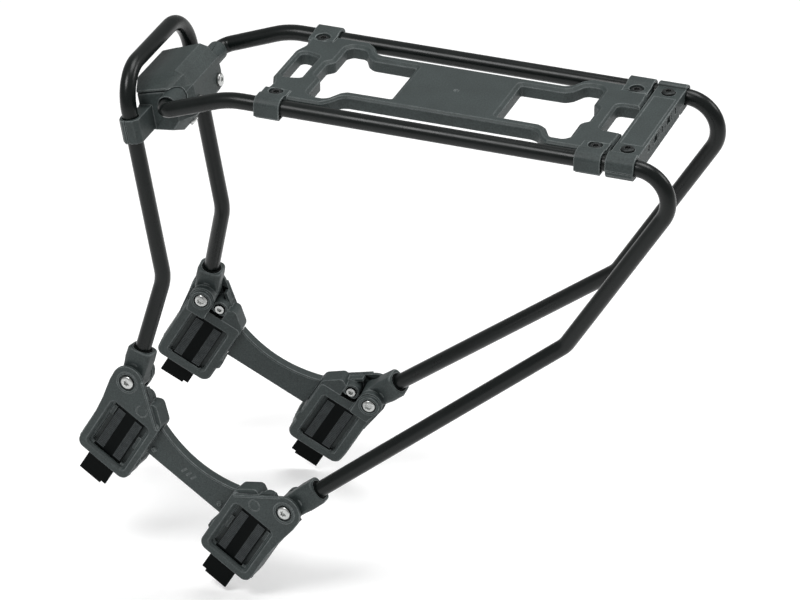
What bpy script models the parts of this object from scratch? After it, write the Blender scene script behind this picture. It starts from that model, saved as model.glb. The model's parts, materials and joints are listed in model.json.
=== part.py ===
"""Bicycle rear rack: a tubular frame, a sliding front hoop and four strap clamps on two seat-stay links.

Row frame: origin in the middle of the deck's top face, +X to the rear of the bicycle, +Y to its right,
+Z up. The rack is symmetric about Y = 0. Lengths below are in millimetres and become metres through MM.
"""

import math

import bmesh
import bpy
from mathutils import Matrix, Vector

MM = 0.001
GAP = 0.3

# Tubes
TUBE_R = 6.0
TUBE_WALL = 1.5
TUBE_SEGMENTS = 16
BORE_R = TUBE_R + GAP

# Side tubes: stub in the bridge, front bend, rail along the deck, rear bend, strut to the rear pivot
RAIL_Y = 59.6
RAIL_Z = -5.8
STUB_END_Y = 30.0
STUB_AXIS = Vector((-206.65, 0.0, -25.7))
STUB_Y = 57.9
FRONT_BEND_X = -153.85
REAR_BEND_X = 198.85
STRUT_BEND = Vector((105.85, 59.6, -159.0))
STUB_BEND_R = 8.5
FRONT_BEND_R = 60.0
REAR_BEND_R = 24.5
STRUT_BEND_R = 22.0

# Front hoop
HOOP_Y = 58.0
HOOP_TOP = Vector((-237.7, 0.0, -2.4))
HOOP_LOW = Vector((-209.05, 0.0, -164.6))
HOOP_TOP_R = 28.0
HOOP_LOW_R = 32.0

# Pivots of the seat-stay links, given for the right side
FRONT_PIVOT = Vector((-229.05, 71.2, -246.0))
REAR_PIVOT = Vector((-97.45, 87.9, -322.6))

# Deck plate
DECK_HALF_Y = 36.0
DECK_T = 10.4
SCREW_X = 121.45
SCREW_Y = 47.2
CLIP_LEN = 19.5
CLIP_OUT_Y = 67.8

# Light bracket
BRACKET_X0 = 134.7
BRACKET_X1 = 155.9
BRACKET_TOP = 3.7
BRACKET_BOTTOM = -13.5
BRACKET_SCREW_Y = 47.5

# Clamp housing, in the link frame: u along the seat stay, v across it, w outward
BOX_U = (-7.4, 40.2)
BOX_V = (-74.5, -14.0)
BOX_W = (-4.0, 12.0)
WINDOW_U = (0.6, 32.0)
WINDOW_V = (-66.0, -24.0)
CHEEK_W = 9.3
PLATE_W = 12.0
INNER_CHEEK_W = -14.0
WORM_U = 16.3
WORM_V = -7.6
WORM_R = 4.1
BARREL_R = 6.6
BARREL_W = -3.0
BOLT_R = 3.0
STRAP_W = 24.0
STRAP_T = 1.8
STRAP_OUT_W = 7.2
STRAP_IN_W = -1.6
STRAP_TOP_V = -12.6
STRAP_END_V = -94.0
EYE_R = 9.4


def clear_scene():
    for obj in list(bpy.data.objects):
        bpy.data.objects.remove(obj, do_unlink=True)


def make_material(name, colour, roughness, metallic=0.0):
    mat = bpy.data.materials.new(name)
    mat.use_nodes = True
    shader = mat.node_tree.nodes["Principled BSDF"]
    shader.inputs["Base Color"].default_value = (*colour, 1.0)
    shader.inputs["Roughness"].default_value = roughness
    shader.inputs["Metallic"].default_value = metallic
    mat.diffuse_color = (*colour, 1.0)
    return mat


def object_from(bm, name, mat=None):
    bmesh.ops.recalc_face_normals(bm, faces=bm.faces[:])
    mesh = bpy.data.meshes.new(name)
    bm.to_mesh(mesh)
    bm.free()
    obj = bpy.data.objects.new(name, mesh)
    bpy.context.scene.collection.objects.link(obj)
    if mat is not None:
        obj.data.materials.append(mat)
    return obj


def frame_of(origin, u, v, w):
    """Matrix that takes (u, v, w) in millimetres to the row frame in metres."""
    rows = Matrix((u, v, w)).transposed().to_4x4()
    rows.translation = Vector(origin)
    return Matrix.Scale(MM, 4) @ rows


ROW = Matrix.Scale(MM, 4)


def stack(name, sections, place=ROW, mat=None):
    """Closed solid through polygons [(points, height)], all with the same number of points."""
    bm = bmesh.new()
    rings = []
    for points, height in sections:
        rings.append([bm.verts.new(place @ Vector((p[0], p[1], height))) for p in points])
    count = len(rings[0])
    for low, high in zip(rings, rings[1:]):
        for i in range(count):
            j = (i + 1) % count
            bm.faces.new((low[i], low[j], high[j], high[i]))
    bm.faces.new(rings[0][::-1])
    bm.faces.new(rings[-1])
    return object_from(bm, name, mat)


def loft(name, rings_mm, mat=None):
    """Closed solid through rings of 3-D points in row millimetres."""
    bm = bmesh.new()
    rings = [[bm.verts.new(Vector(p) * MM) for p in ring] for ring in rings_mm]
    count = len(rings[0])
    for low, high in zip(rings, rings[1:]):
        for i in range(count):
            j = (i + 1) % count
            bm.faces.new((low[i], low[j], high[j], high[i]))
    bm.faces.new(rings[0][::-1])
    bm.faces.new(rings[-1])
    return object_from(bm, name, mat)


def circle(radius, segments, centre=(0.0, 0.0), turn=0.0):
    step = 2.0 * math.pi / segments
    return [
        (centre[0] + radius * math.cos(turn + i * step), centre[1] + radius * math.sin(turn + i * step))
        for i in range(segments)
    ]


def rectangle(a, b):
    return [(a[0], b[0]), (a[1], b[0]), (a[1], b[1]), (a[0], b[1])]


def grown(points, by):
    """Counter-clockwise polygon with every edge moved outward."""
    out = []
    count = len(points)
    for i, point in enumerate(points):
        p = Vector(point)
        a = (p - Vector(points[i - 1])).normalized()
        b = (Vector(points[(i + 1) % count]) - p).normalized()
        na = Vector((a.y, -a.x))
        nb = Vector((b.y, -b.x))
        mid = (na + nb).normalized()
        out.append(tuple(p + mid * (by / max(0.5, mid.dot(na)))))
    return out


def block(name, u, v, w, place=ROW, mat=None):
    return stack(name, [(rectangle(u, v), w[0]), (rectangle(u, v), w[1])], place, mat)


def cylinder(name, radius, w, centre=(0.0, 0.0), place=ROW, segments=24, mat=None, chamfer=0.0):
    sections = [(circle(radius, segments, centre), w[0])]
    if chamfer > 0.0:
        sections.append((circle(radius, segments, centre), w[1] - chamfer))
        sections.append((circle(radius - chamfer, segments, centre), w[1]))
    else:
        sections.append((circle(radius, segments, centre), w[1]))
    return stack(name, sections, place, mat)


def combine(target, tool, operation):
    """Boolean the tool into the target and take the tool away."""
    tool.hide_render = True
    tool.display_type = "WIRE"
    modifier = target.modifiers.new(operation.lower(), "BOOLEAN")
    modifier.operation = operation
    modifier.solver = "EXACT"
    modifier.object = tool
    bpy.ops.object.select_all(action="DESELECT")
    bpy.context.view_layer.objects.active = target
    target.select_set(True)
    bpy.ops.object.modifier_apply(modifier=modifier.name)
    bpy.data.objects.remove(tool, do_unlink=True)


def join_all(target, *tools):
    for tool in tools:
        combine(target, tool, "UNION")


def cut_all(target, *tools):
    for tool in tools:
        combine(target, tool, "DIFFERENCE")


def clean(obj):
    """Merge the slivers a Boolean can leave."""
    bm = bmesh.new()
    bm.from_mesh(obj.data)
    bmesh.ops.remove_doubles(bm, verts=bm.verts[:], dist=0.00001)
    bmesh.ops.dissolve_limit(
        bm, angle_limit=math.radians(0.3), verts=bm.verts[:], edges=bm.edges[:], delimit={"MATERIAL"}
    )
    bmesh.ops.triangulate(bm, faces=[f for f in bm.faces if len(f.verts) > 4])
    bm.to_mesh(obj.data)
    bm.free()


def mirrored(obj, name, matrix):
    """Mirror copy of a finished piece."""
    bm = bmesh.new()
    bm.from_mesh(obj.data)
    bmesh.ops.transform(bm, matrix=matrix, verts=bm.verts[:])
    bmesh.ops.reverse_faces(bm, faces=bm.faces[:])
    mesh = bpy.data.meshes.new(name)
    bm.to_mesh(mesh)
    bm.free()
    mesh.materials.append(obj.data.materials[0])
    copy = bpy.data.objects.new(name, mesh)
    bpy.context.scene.collection.objects.link(copy)
    return copy


FLIP_Y = Matrix.Scale(-1.0, 4, Vector((0.0, 1.0, 0.0)))
FLIP_X = Matrix.Scale(-1.0, 4, Vector((1.0, 0.0, 0.0)))


# ---------------------------------------------------------------- tubes


def bent_path(corners, radii, steps):
    """Points along straight runs joined by arcs; corners are Vectors, radii and steps for inner corners."""
    path = [corners[0]]
    for i in range(1, len(corners) - 1):
        p = corners[i]
        a = (corners[i - 1] - p).normalized()
        b = (corners[i + 1] - p).normalized()
        half = a.angle(b) / 2.0
        back = radii[i - 1] / math.tan(half)
        centre = p + (a + b).normalized() * (radii[i - 1] / math.sin(half))
        start = p + a * back - centre
        end = p + b * back - centre
        turn = start.angle(end)
        for k in range(steps[i - 1] + 1):
            t = k / steps[i - 1]
            path.append(
                centre
                + start * (math.sin((1.0 - t) * turn) / math.sin(turn))
                + end * (math.sin(t * turn) / math.sin(turn))
            )
    path.append(corners[-1])
    return path


def tube(name, path, mat):
    """Round tube along a path, open at both ends, with its wall grown inward."""
    curve = bpy.data.curves.new(name, "CURVE")
    curve.dimensions = "3D"
    curve.bevel_mode = "ROUND"
    curve.bevel_depth = TUBE_R * MM
    curve.bevel_resolution = (TUBE_SEGMENTS - 4) // 2
    curve.use_fill_caps = False
    spline = curve.splines.new("POLY")
    spline.points.add(len(path) - 1)
    for point, place in zip(spline.points, path):
        point.co = (*(place * MM), 1.0)
    obj = bpy.data.objects.new(name, curve)
    bpy.context.scene.collection.objects.link(obj)
    bpy.ops.object.select_all(action="DESELECT")
    bpy.context.view_layer.objects.active = obj
    obj.select_set(True)
    bpy.ops.object.convert(target="MESH")
    obj = bpy.context.view_layer.objects.active
    obj.name = name
    bm = bmesh.new()
    bm.from_mesh(obj.data)
    bmesh.ops.remove_doubles(bm, verts=bm.verts[:], dist=0.000001)
    bmesh.ops.recalc_face_normals(bm, faces=bm.faces[:])
    centre = path[1] * MM
    face = min(bm.faces, key=lambda f: (f.calc_center_median() - centre).length)
    near = min(path, key=lambda q: (q * MM - face.calc_center_median()).length) * MM
    if face.normal.dot(face.calc_center_median() - near) < 0.0:
        bmesh.ops.reverse_faces(bm, faces=bm.faces[:])
    bm.to_mesh(obj.data)
    bm.free()
    obj.data.materials.clear()
    obj.data.materials.append(mat)
    wall = obj.modifiers.new("wall", "SOLIDIFY")
    wall.thickness = TUBE_WALL * MM
    wall.offset = -1.0
    wall.use_rim = True
    bpy.ops.object.modifier_apply(modifier=wall.name)
    return obj


def side_tube_path(side, end_back):
    low = Vector((REAR_PIVOT.x, side * REAR_PIVOT.y, REAR_PIVOT.z))
    strut = Vector((STRUT_BEND.x, side * STRUT_BEND.y, STRUT_BEND.z))
    foot = low + (strut - low).normalized() * end_back
    corners = [
        Vector((STUB_AXIS.x, side * STUB_END_Y, STUB_AXIS.z)),
        Vector((STUB_AXIS.x, side * STUB_Y, STUB_AXIS.z)),
        Vector((FRONT_BEND_X, side * RAIL_Y, RAIL_Z)),
        Vector((REAR_BEND_X, side * RAIL_Y, RAIL_Z)),
        strut,
        foot,
    ]
    radii = [STUB_BEND_R, FRONT_BEND_R, REAR_BEND_R, STRUT_BEND_R]
    return bent_path(corners, radii, [5, 3, 8, 4])


def hoop_path(end_back):
    def leg(side):
        pivot = Vector((FRONT_PIVOT.x, side * FRONT_PIVOT.y, FRONT_PIVOT.z))
        low = Vector((HOOP_LOW.x, side * HOOP_Y, HOOP_LOW.z))
        foot = pivot + (low - pivot).normalized() * end_back
        top = Vector((HOOP_TOP.x, side * HOOP_Y, HOOP_TOP.z))
        return foot, low, top

    foot_l, low_l, top_l = leg(-1.0)
    foot_r, low_r, top_r = leg(1.0)
    corners = [foot_l, low_l, top_l, top_r, low_r, foot_r]
    radii = [HOOP_LOW_R, HOOP_TOP_R, HOOP_TOP_R, HOOP_LOW_R]
    return bent_path(corners, radii, [3, 7, 7, 3])


# ---------------------------------------------------------------- deck


def deck_outline():
    """Half of the plate's outline for y > 0, front to rear, then mirrored round to the near side."""
    upper = [
        (-133.5, 22.0),
        (-129.5, 33.0),
        (-131.0, 52.6),
        (-86.0, 52.6),
        (-80.0, 47.0),
        (-75.0, 38.0),
        (-70.0, DECK_HALF_Y),
        (70.0, DECK_HALF_Y),
        (75.0, 38.0),
        (80.0, 47.0),
        (86.0, 52.6),
        (131.0, 52.6),
        (132.4, 34.0),
    ]
    lower = [(x, -y) for x, y in upper]
    return lower + upper[::-1]


def big_window(side):
    """Large opening of the deck; side -1 is the front one, +1 the rear one."""
    shape = [
        (40.2, 26.6),
        (40.2, -26.6),
        (74.0, -27.0),
        (79.0, -31.0),
        (84.5, -41.0),
        (87.5, -42.5),
        (95.5, -42.5),
        (99.3, -38.0),
        (99.3, -15.0),
        (104.3, -10.0),
        (104.3, 10.0),
        (99.3, 15.0),
        (99.3, 38.0),
        (95.5, 42.5),
        (87.5, 42.5),
        (84.5, 41.0),
        (79.0, 31.0),
        (74.0, 27.0),
    ]
    points = [(side * x, y) for x, y in shape]
    return points if side > 0 else points[::-1]


def chamfered_cutter(name, points, top, bottom, rim):
    straight = [(points, bottom), (points, top - rim)]
    flared = [(grown(points, rim), top), (grown(points, rim + 1.0), top + 1.0)]
    return stack(name, straight + flared)


def hook_profile(sign, top=1.0, over=2.4, inner_y=41.0, floor=-DECK_T, skirt=-12.1):
    """Cross-section in (y, z) of a corner pad that hooks over a rail."""
    arc = []
    for k in range(9):
        t = math.pi * k / 8.0
        arc.append((RAIL_Y + BORE_R * math.cos(t), RAIL_Z + BORE_R * math.sin(t)))
    points = [
        (inner_y, -0.4),
        (inner_y + 2.5, top),
        (52.0, top),
        (55.5, over),
        (63.6, over),
        (66.6, 0.8),
        (CLIP_OUT_Y, -2.4),
        (CLIP_OUT_Y, skirt + 1.0),
        (CLIP_OUT_Y - 0.8, skirt),
        (RAIL_Y + BORE_R, skirt),
        *arc,
        (RAIL_Y - BORE_R, floor),
        (inner_y, floor),
    ]
    return [(sign * y, z) for y, z in points]


def extruded_yz(name, points, x0, x1, mat=None):
    rings = [[(x, y, z) for y, z in points] for x in (x0, x1)]
    return loft(name, rings, mat)


def deck_plate(mat):
    outline = deck_outline()
    rim = 1.6
    plate = stack(
        "deck_plate",
        [(outline, -DECK_T), (outline, -rim), (grown(outline, -rim), 0.0)],
        ROW,
        mat,
    )
    for sx in (-1.0, 1.0):
        for sy in (-1.0, 1.0):
            x = sx * SCREW_X
            pad = extruded_yz("pad", hook_profile(sy), x - CLIP_LEN / 2.0, x + CLIP_LEN / 2.0)
            join_all(plate, pad)
    for side in (-1.0, 1.0):
        cut_all(plate, chamfered_cutter("window", big_window(side), 0.0, -DECK_T - 1.0, rim))
    slot = [(-128.0, -22.0), (-113.6, -18.0), (-113.6, 18.0), (-128.0, 22.0)]
    cut_all(plate, chamfered_cutter("slot", slot, 0.0, -DECK_T - 1.0, 1.2))
    notch = [(116.0, -20.5), (140.0, -21.5), (140.0, 21.5), (116.0, 20.5)]
    cut_all(plate, chamfered_cutter("notch", notch, 0.0, -DECK_T - 1.0, 1.2))
    for x0, x1 in ((-35.5, -1.2), (1.2, 35.5)):
        for y0, y1 in ((-33.0, -1.2), (1.2, 33.0)):
            cut_all(plate, block("pocket", (x0, x1), (y0, y1), (-DECK_T - 1.0, -3.0)))
    for sx in (-1.0, 1.0):
        for sy in (-1.0, 1.0):
            centre = (sx * SCREW_X, sy * SCREW_Y)
            cut_all(plate, cylinder("bore", 2.9, (-DECK_T - 1.0, 4.0), centre, segments=12))
            cut_all(plate, cylinder("seat", 5.4, (-2.4, 4.0), centre, segments=16))
    cut_all(plate, cylinder("dimple", 1.6, (-0.8, 1.0), (0.0, 0.0), segments=10))
    clean(plate)
    return plate


def deck_clip(name, sx, sy, mat):
    points = [
        (42.0, -10.75),
        (52.9, -10.75),
        (52.9, -12.15),
        (65.5, -12.45),
        (65.5, -13.2),
        (64.6, -14.1),
        (43.2, -14.1),
        (42.0, -13.0),
    ]
    x = sx * SCREW_X
    half = CLIP_LEN / 2.0 - 0.6
    clip = extruded_yz(name, [(sy * y, z) for y, z in points], x - half, x + half, mat)
    cut_all(clip, cylinder("bore", 2.9, (-17.0, -8.0), (x, sy * SCREW_Y), segments=12))
    clean(clip)
    return clip


def socket_screw(name, mat, place, head_r, head_h, shank_r, shank_l, hex_r, segments=16):
    """Cap screw along w: head top at w = head_h, seat at w = 0, shank below, hexagon socket in the head."""
    dome = 0.22 * head_h
    screw = stack(
        name,
        [
            (circle(head_r, segments), 0.0),
            (circle(head_r, segments), head_h - 2.0 * dome),
            (circle(head_r - dome, segments), head_h - 0.6 * dome),
            (circle(head_r - 2.4 * dome, segments), head_h),
        ],
        place,
        mat,
    )
    join_all(screw, cylinder("shank", shank_r, (-shank_l, 0.2), place=place, segments=8))
    cut_all(screw, stack("key", [(circle(hex_r, 6), 0.35 * head_h), (circle(hex_r, 6), head_h + 1.0)], place))
    clean(screw)
    return screw


def upright(x, y, z):
    return frame_of((x, y, z), Vector((1, 0, 0)), Vector((0, 1, 0)), Vector((0, 0, 1)))


def light_bracket(mat):
    arc = []
    for k in range(9):
        t = math.pi * k / 8.0
        arc.append((RAIL_Y + BORE_R * math.cos(t), RAIL_Z + BORE_R * math.sin(t)))
    half = [
        (54.0, BRACKET_TOP),
        (61.5, 3.2),
        (66.2, 0.6),
        (CLIP_OUT_Y, -3.0),
        (CLIP_OUT_Y, -7.6),
        (RAIL_Y + BORE_R, -7.6),
        *arc,
        (RAIL_Y - BORE_R, -7.6),
        (43.0, -7.6),
        (41.0, BRACKET_BOTTOM),
    ]
    outline = [(y, z) for y, z in half] + [(-y, z) for y, z in half[::-1]]
    body = extruded_yz("light_bracket", outline, BRACKET_X0, BRACKET_X1, mat)
    lower = block(
        "hollow",
        (BRACKET_X0 + 2.4, BRACKET_X1 - 2.4),
        (-39.0, 39.0),
        (BRACKET_BOTTOM - 1.0, BRACKET_TOP - 2.6),
    )
    cut_all(body, lower)
    for y, width in ((-15.0, 9.0), (15.0, 9.0), (-31.0, 3.0), (0.0, 3.0), (31.0, 3.0)):
        span = (y - width / 2, y + width / 2)
        pocket = block("pocket", (BRACKET_X1 - 4.0, BRACKET_X1 + 2.0), span, (-6.4, -1.0))
        cut_all(body, pocket)
    mid = (BRACKET_X0 + BRACKET_X1) / 2.0
    for sy in (-1.0, 1.0):
        cut_all(body, cylinder("hole", 1.9, (-2.0, 8.0), (mid, sy * 30.0), segments=10))
        cut_all(body, cylinder("bore", 2.9, (-9.0, 6.0), (mid, sy * BRACKET_SCREW_Y), segments=12))
        cut_all(body, cylinder("seat", 5.4, (0.2, 6.0), (mid, sy * BRACKET_SCREW_Y), segments=16))
    clean(body)
    return body


def bracket_clip(name, sy, mat):
    arc = []
    dip = math.asin((RAIL_Z + 7.9) / BORE_R)
    for k in range(9):
        t = math.pi + dip + (math.pi - 2.0 * dip) * k / 8.0
        arc.append((RAIL_Y + BORE_R * math.cos(t), RAIL_Z + BORE_R * math.sin(t)))
    points = [
        (44.0, -7.9),
        (RAIL_Y - BORE_R - 0.2, -7.9),
        *arc,
        (RAIL_Y + BORE_R + 0.2, -7.9),
        (CLIP_OUT_Y, -7.9),
        (CLIP_OUT_Y, -10.6),
        (65.4, -13.6),
        (60.0, -14.3),
        (46.0, -14.3),
        (44.0, -12.6),
    ]
    clip = extruded_yz(name, [(sy * y, z) for y, z in points], BRACKET_X0 + 0.4, BRACKET_X1 - 0.4, mat)
    mid = (BRACKET_X0 + BRACKET_X1) / 2.0
    cut_all(clip, cylinder("bore", 2.9, (-17.0, -6.0), (mid, sy * BRACKET_SCREW_Y), segments=12))
    clean(clip)
    return clip


# ---------------------------------------------------------------- bridge


HOOD_MID = [(-240.8, -20.2), (-210.5, -9.0), (-204.0, -11.2), (-196.2, -18.0), (-192.6, -40.5)]
HOOD_SIDE = [(-235.6, -23.6), (-213.4, -17.9), (-209.8, -18.2), (-202.3, -25.7), (-200.0, -36.0)]
HOOD_Y = (23.8, 38.5)
COLLAR_R = 7.7
COLLAR_END_Y = 49.0


def offset_line(points, by):
    """Open polyline in (x, z) moved to its lower side."""
    out = []
    last = len(points) - 1
    for i, point in enumerate(points):
        p = Vector(point)
        a = (p - Vector(points[max(i - 1, 0)])).normalized() if i > 0 else None
        b = (Vector(points[min(i + 1, last)]) - p).normalized() if i < last else None
        a = a or b
        b = b or a
        na = Vector((a.y, -a.x))
        nb = Vector((b.y, -b.x))
        mid = (na + nb).normalized()
        out.append(tuple(p + mid * (by / mid.dot(na))))
    return out


def hood_rings(y, line, thick):
    inner = offset_line(line, thick)
    return [(x, y, z) for x, z in line] + [(x, y, z) for x, z in inner[::-1]]


def rear_screw_frame(sy):
    a = Vector(HOOD_MID[3])
    b = Vector(HOOD_MID[4])
    along = (b - a).normalized()
    spot = a.lerp(b, 0.70)
    out = Vector((-along.y, 0.0, along.x))
    down = Vector((along.x, 0.0, along.y))
    return spot, out, down, sy * 19.0


def stub_place():
    """Frame whose w axis is the hinge axis of the bridge, along Y."""
    return frame_of((STUB_AXIS.x, 0.0, STUB_AXIS.z), Vector((0, 0, 1)), Vector((1, 0, 0)), Vector((0, 1, 0)))


def bridge_hood(mat):
    rings = [
        hood_rings(-HOOD_Y[1], HOOD_SIDE, 1.6),
        hood_rings(-HOOD_Y[0], HOOD_MID, 2.0),
        hood_rings(HOOD_Y[0], HOOD_MID, 2.0),
        hood_rings(HOOD_Y[1], HOOD_SIDE, 1.6),
    ]
    hood = loft("bridge_hood", rings, mat)
    for sy in (-1.0, 1.0):
        cut_all(hood, cylinder("bore", 2.9, (-6.0, 6.0), place=upper_screw_place(sy), segments=12))
        ends = (24.0, 60.0) if sy > 0 else (-60.0, -24.0)
        cut_all(hood, cylinder("collar_gap", COLLAR_R + 0.5, ends, place=stub_place(), segments=24))
    clean(hood)
    return hood


def upper_screw_place(sy):
    spot, out, down, y = rear_screw_frame(sy)
    return frame_of((spot.x, y, spot.y), down, out.cross(down), out)


LOW_FACET = (Vector((-194.2, -43.0)), Vector((-204.0, -57.0)))


def lower_screw_place(sy):
    a, b = LOW_FACET
    along = (b - a).normalized()
    spot = a.lerp(b, 0.5)
    out = Vector((-along.y, 0.0, along.x))
    down = Vector((along.x, 0.0, along.y))
    return frame_of((spot.x, sy * 19.0, spot.y), down, out.cross(down), out)


SADDLE_SHAPE = [(-1.5, -20.0), (8.6, -20.0), (8.6, 4.6), (5.0, 8.4), (-1.5, 8.6)]
CAP_SHAPE = [(-8.2, -17.0), (-1.85, -17.0), (-1.85, 8.6), (-4.2, 8.3), (-7.2, 4.8), (-8.2, 1.0)]


def leg_frame(sy):
    """Frame of a leg clip: u to the rear across the leg, v outward along y, w down the leg."""
    top = Vector((HOOP_TOP.x, 0.0, HOOP_TOP.z))
    low = Vector((HOOP_LOW.x, 0.0, HOOP_LOW.z))
    down = (low - top).normalized()
    rear = Vector((-down.z, 0.0, down.x))
    spot = top + down * ((-44.0 - top.z) / down.z)
    out = Vector((0.0, sy, 0.0))
    return frame_of((spot.x, sy * HOOP_Y, spot.z), rear, out, down)


def bridge_block(mat):
    mid_top = offset_line(HOOD_MID, 2.0 + GAP + 1.2)
    side_top = offset_line(HOOD_SIDE, 1.6 + GAP + 1.1)
    facet = [tuple(LOW_FACET[0]), tuple(LOW_FACET[1])]
    mid = mid_top[:4] + [(-196.2, -39.5), *facet, (-224.0, -58.0), (-236.0, -44.0)]
    under = [(-202.0, -43.0), (-206.5, -51.0), (-222.0, -53.0), (-232.0, -42.0)]
    side = side_top[:4] + [(-202.3, -35.5), *under]
    rings = [
        [(x, -38.2, z) for x, z in side],
        [(x, -23.8, z) for x, z in mid],
        [(x, 23.8, z) for x, z in mid],
        [(x, 38.2, z) for x, z in side],
    ]
    body = loft("bridge_block", rings, mat)
    for ends in ((22.0, COLLAR_END_Y), (-COLLAR_END_Y, -22.0)):
        join_all(body, cylinder("collar", COLLAR_R, ends, place=stub_place(), segments=24))
    for sy in (-1.0, 1.0):
        place = leg_frame(sy)
        saddle = stack(
            "saddle",
            [(SADDLE_SHAPE, -9.6), (SADDLE_SHAPE, 8.6), (grown(SADDLE_SHAPE, -0.9), 9.6)],
            place,
        )
        join_all(body, saddle)
        cut_all(body, cylinder("leg_bore", BORE_R, (-24.0, 24.0), place=place, segments=24))
        spot = place @ Vector((0.0, -12.6, 0.0)) / MM
        rear = (place.to_3x3() @ Vector((1, 0, 0))).normalized()
        down = (place.to_3x3() @ Vector((0, 0, 1))).normalized()
        bore_place = frame_of(spot, down, rear.cross(down), rear)
        cut_all(body, cylinder("clip_bore", 2.2, (-4.0, 7.0), place=bore_place, segments=10))
        ends = (28.0, 60.0) if sy > 0 else (-60.0, -28.0)
        cut_all(body, cylinder("stub_bore", BORE_R, ends, place=stub_place(), segments=24))
        cut_all(body, cylinder("bore", 2.4, (-14.0, 4.0), place=upper_screw_place(sy), segments=12))
        cut_all(body, cylinder("bore", 2.4, (-12.0, 4.0), place=lower_screw_place(sy), segments=12))
    clean(body)
    return body


def leg_clip(name, sy, mat):
    place = leg_frame(sy)
    clip = stack(
        name,
        [(CAP_SHAPE, -9.6), (CAP_SHAPE, 8.6), (grown(CAP_SHAPE, -0.9), 9.6)],
        place,
        mat,
    )
    cut_all(clip, cylinder("leg_bore", BORE_R, (-24.0, 24.0), place=place, segments=24))
    spot = place @ Vector((0.0, -12.6, 0.0)) / MM
    rear = (place.to_3x3() @ Vector((1, 0, 0))).normalized()
    down = (place.to_3x3() @ Vector((0, 0, 1))).normalized()
    bore = frame_of(spot, down, rear.cross(down), rear)
    cut_all(clip, cylinder("clip_bore", 2.2, (-12.0, 4.0), place=bore, segments=10))
    cut_all(clip, cylinder("clip_seat", 4.1, (-12.0, -5.9), place=bore, segments=16))
    clean(clip)
    return clip


def leg_screw(name, sy, mat):
    place = leg_frame(sy)
    spot = place @ Vector((-6.2, -12.6, 0.0)) / MM
    rear = (place.to_3x3() @ Vector((1, 0, 0))).normalized()
    down = (place.to_3x3() @ Vector((0, 0, 1))).normalized()
    out = rear * -1.0
    return socket_screw(name, mat, frame_of(spot, down, out.cross(down), out), 3.5, 2.0, 1.9, 12.0, 1.6, 16)


# ---------------------------------------------------------------- knuckles and links, left side


def left(point):
    return Vector((point.x, -point.y, point.z))


def link_frame():
    """Left link: origin on the front pivot, u to the rear pivot, v upward across the stay, w outward."""
    front = left(FRONT_PIVOT)
    rear = left(REAR_PIVOT)
    u = (rear - front).normalized()
    v = Vector((0.0, 1.0, 0.0)).cross(u).normalized()
    if v.z < 0.0:
        v = -v
    w = u.cross(v)
    return frame_of(front, u, v, w), (rear - front).length


LINK, LINK_LEN = link_frame()
LINK_MIRROR = LINK @ Matrix.Translation((LINK_LEN, 0, 0)) @ FLIP_X @ LINK.inverted()


def knuckle(name, pivot, toward, reach, half_t, bore, mat):
    """Moulded tube end: a flat eye on the pivot and a socket round the tube."""
    w = (LINK.to_3x3() @ Vector((0, 0, 1))).normalized()
    axis = (toward - pivot).normalized()
    across = w.cross(axis).normalized()
    deep = axis.cross(across).normalized()
    place = frame_of(pivot, across, deep, axis)
    flat = (w.cross(axis)).cross(w).normalized()
    eye_place = frame_of(pivot, flat, across, w)
    eye = cylinder(name, EYE_R, (-half_t, half_t), place=eye_place, segments=20, mat=mat)

    def ring(a, b, cut):
        upper = [(a, -b + cut), (a, b - cut), (a - cut, b), (-a + cut, b)]
        return upper + [(-x, -y) for x, y in upper]

    arm = stack(
        "arm",
        [
            (ring(9.2, 6.6, 2.0), 0.0),
            (ring(9.4, 7.0, 2.0), 10.5),
            (ring(9.9, 8.7, 3.2), 16.0),
            (ring(9.7, 8.9, 4.2), reach - 1.4),
            (ring(8.8, 8.0, 3.8), reach),
        ],
        place,
    )
    join_all(eye, arm)
    cut_all(eye, cylinder("socket", TUBE_R + 1.6, (12.0, reach + 4.0), place=place, segments=16))
    cut_all(eye, cylinder("bore", bore, (-12.0, 12.0), place=eye_place, segments=16))
    clean(eye)
    return eye


def sleeve(name, pivot, toward, reach, mat):
    """Thin plastic sleeve between a tube end and its socket."""
    w = (LINK.to_3x3() @ Vector((0, 0, 1))).normalized()
    axis = (toward - pivot).normalized()
    across = w.cross(axis).normalized()
    deep = axis.cross(across).normalized()
    place = frame_of(pivot, across, deep, axis)
    ring = cylinder(name, TUBE_R + 1.3, (13.0, reach + 0.8), place=place, segments=16, mat=mat)
    cut_all(ring, cylinder("bore", TUBE_R + 0.3, (10.0, reach + 4.0), place=place, segments=16))
    clean(ring)
    return ring


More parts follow.
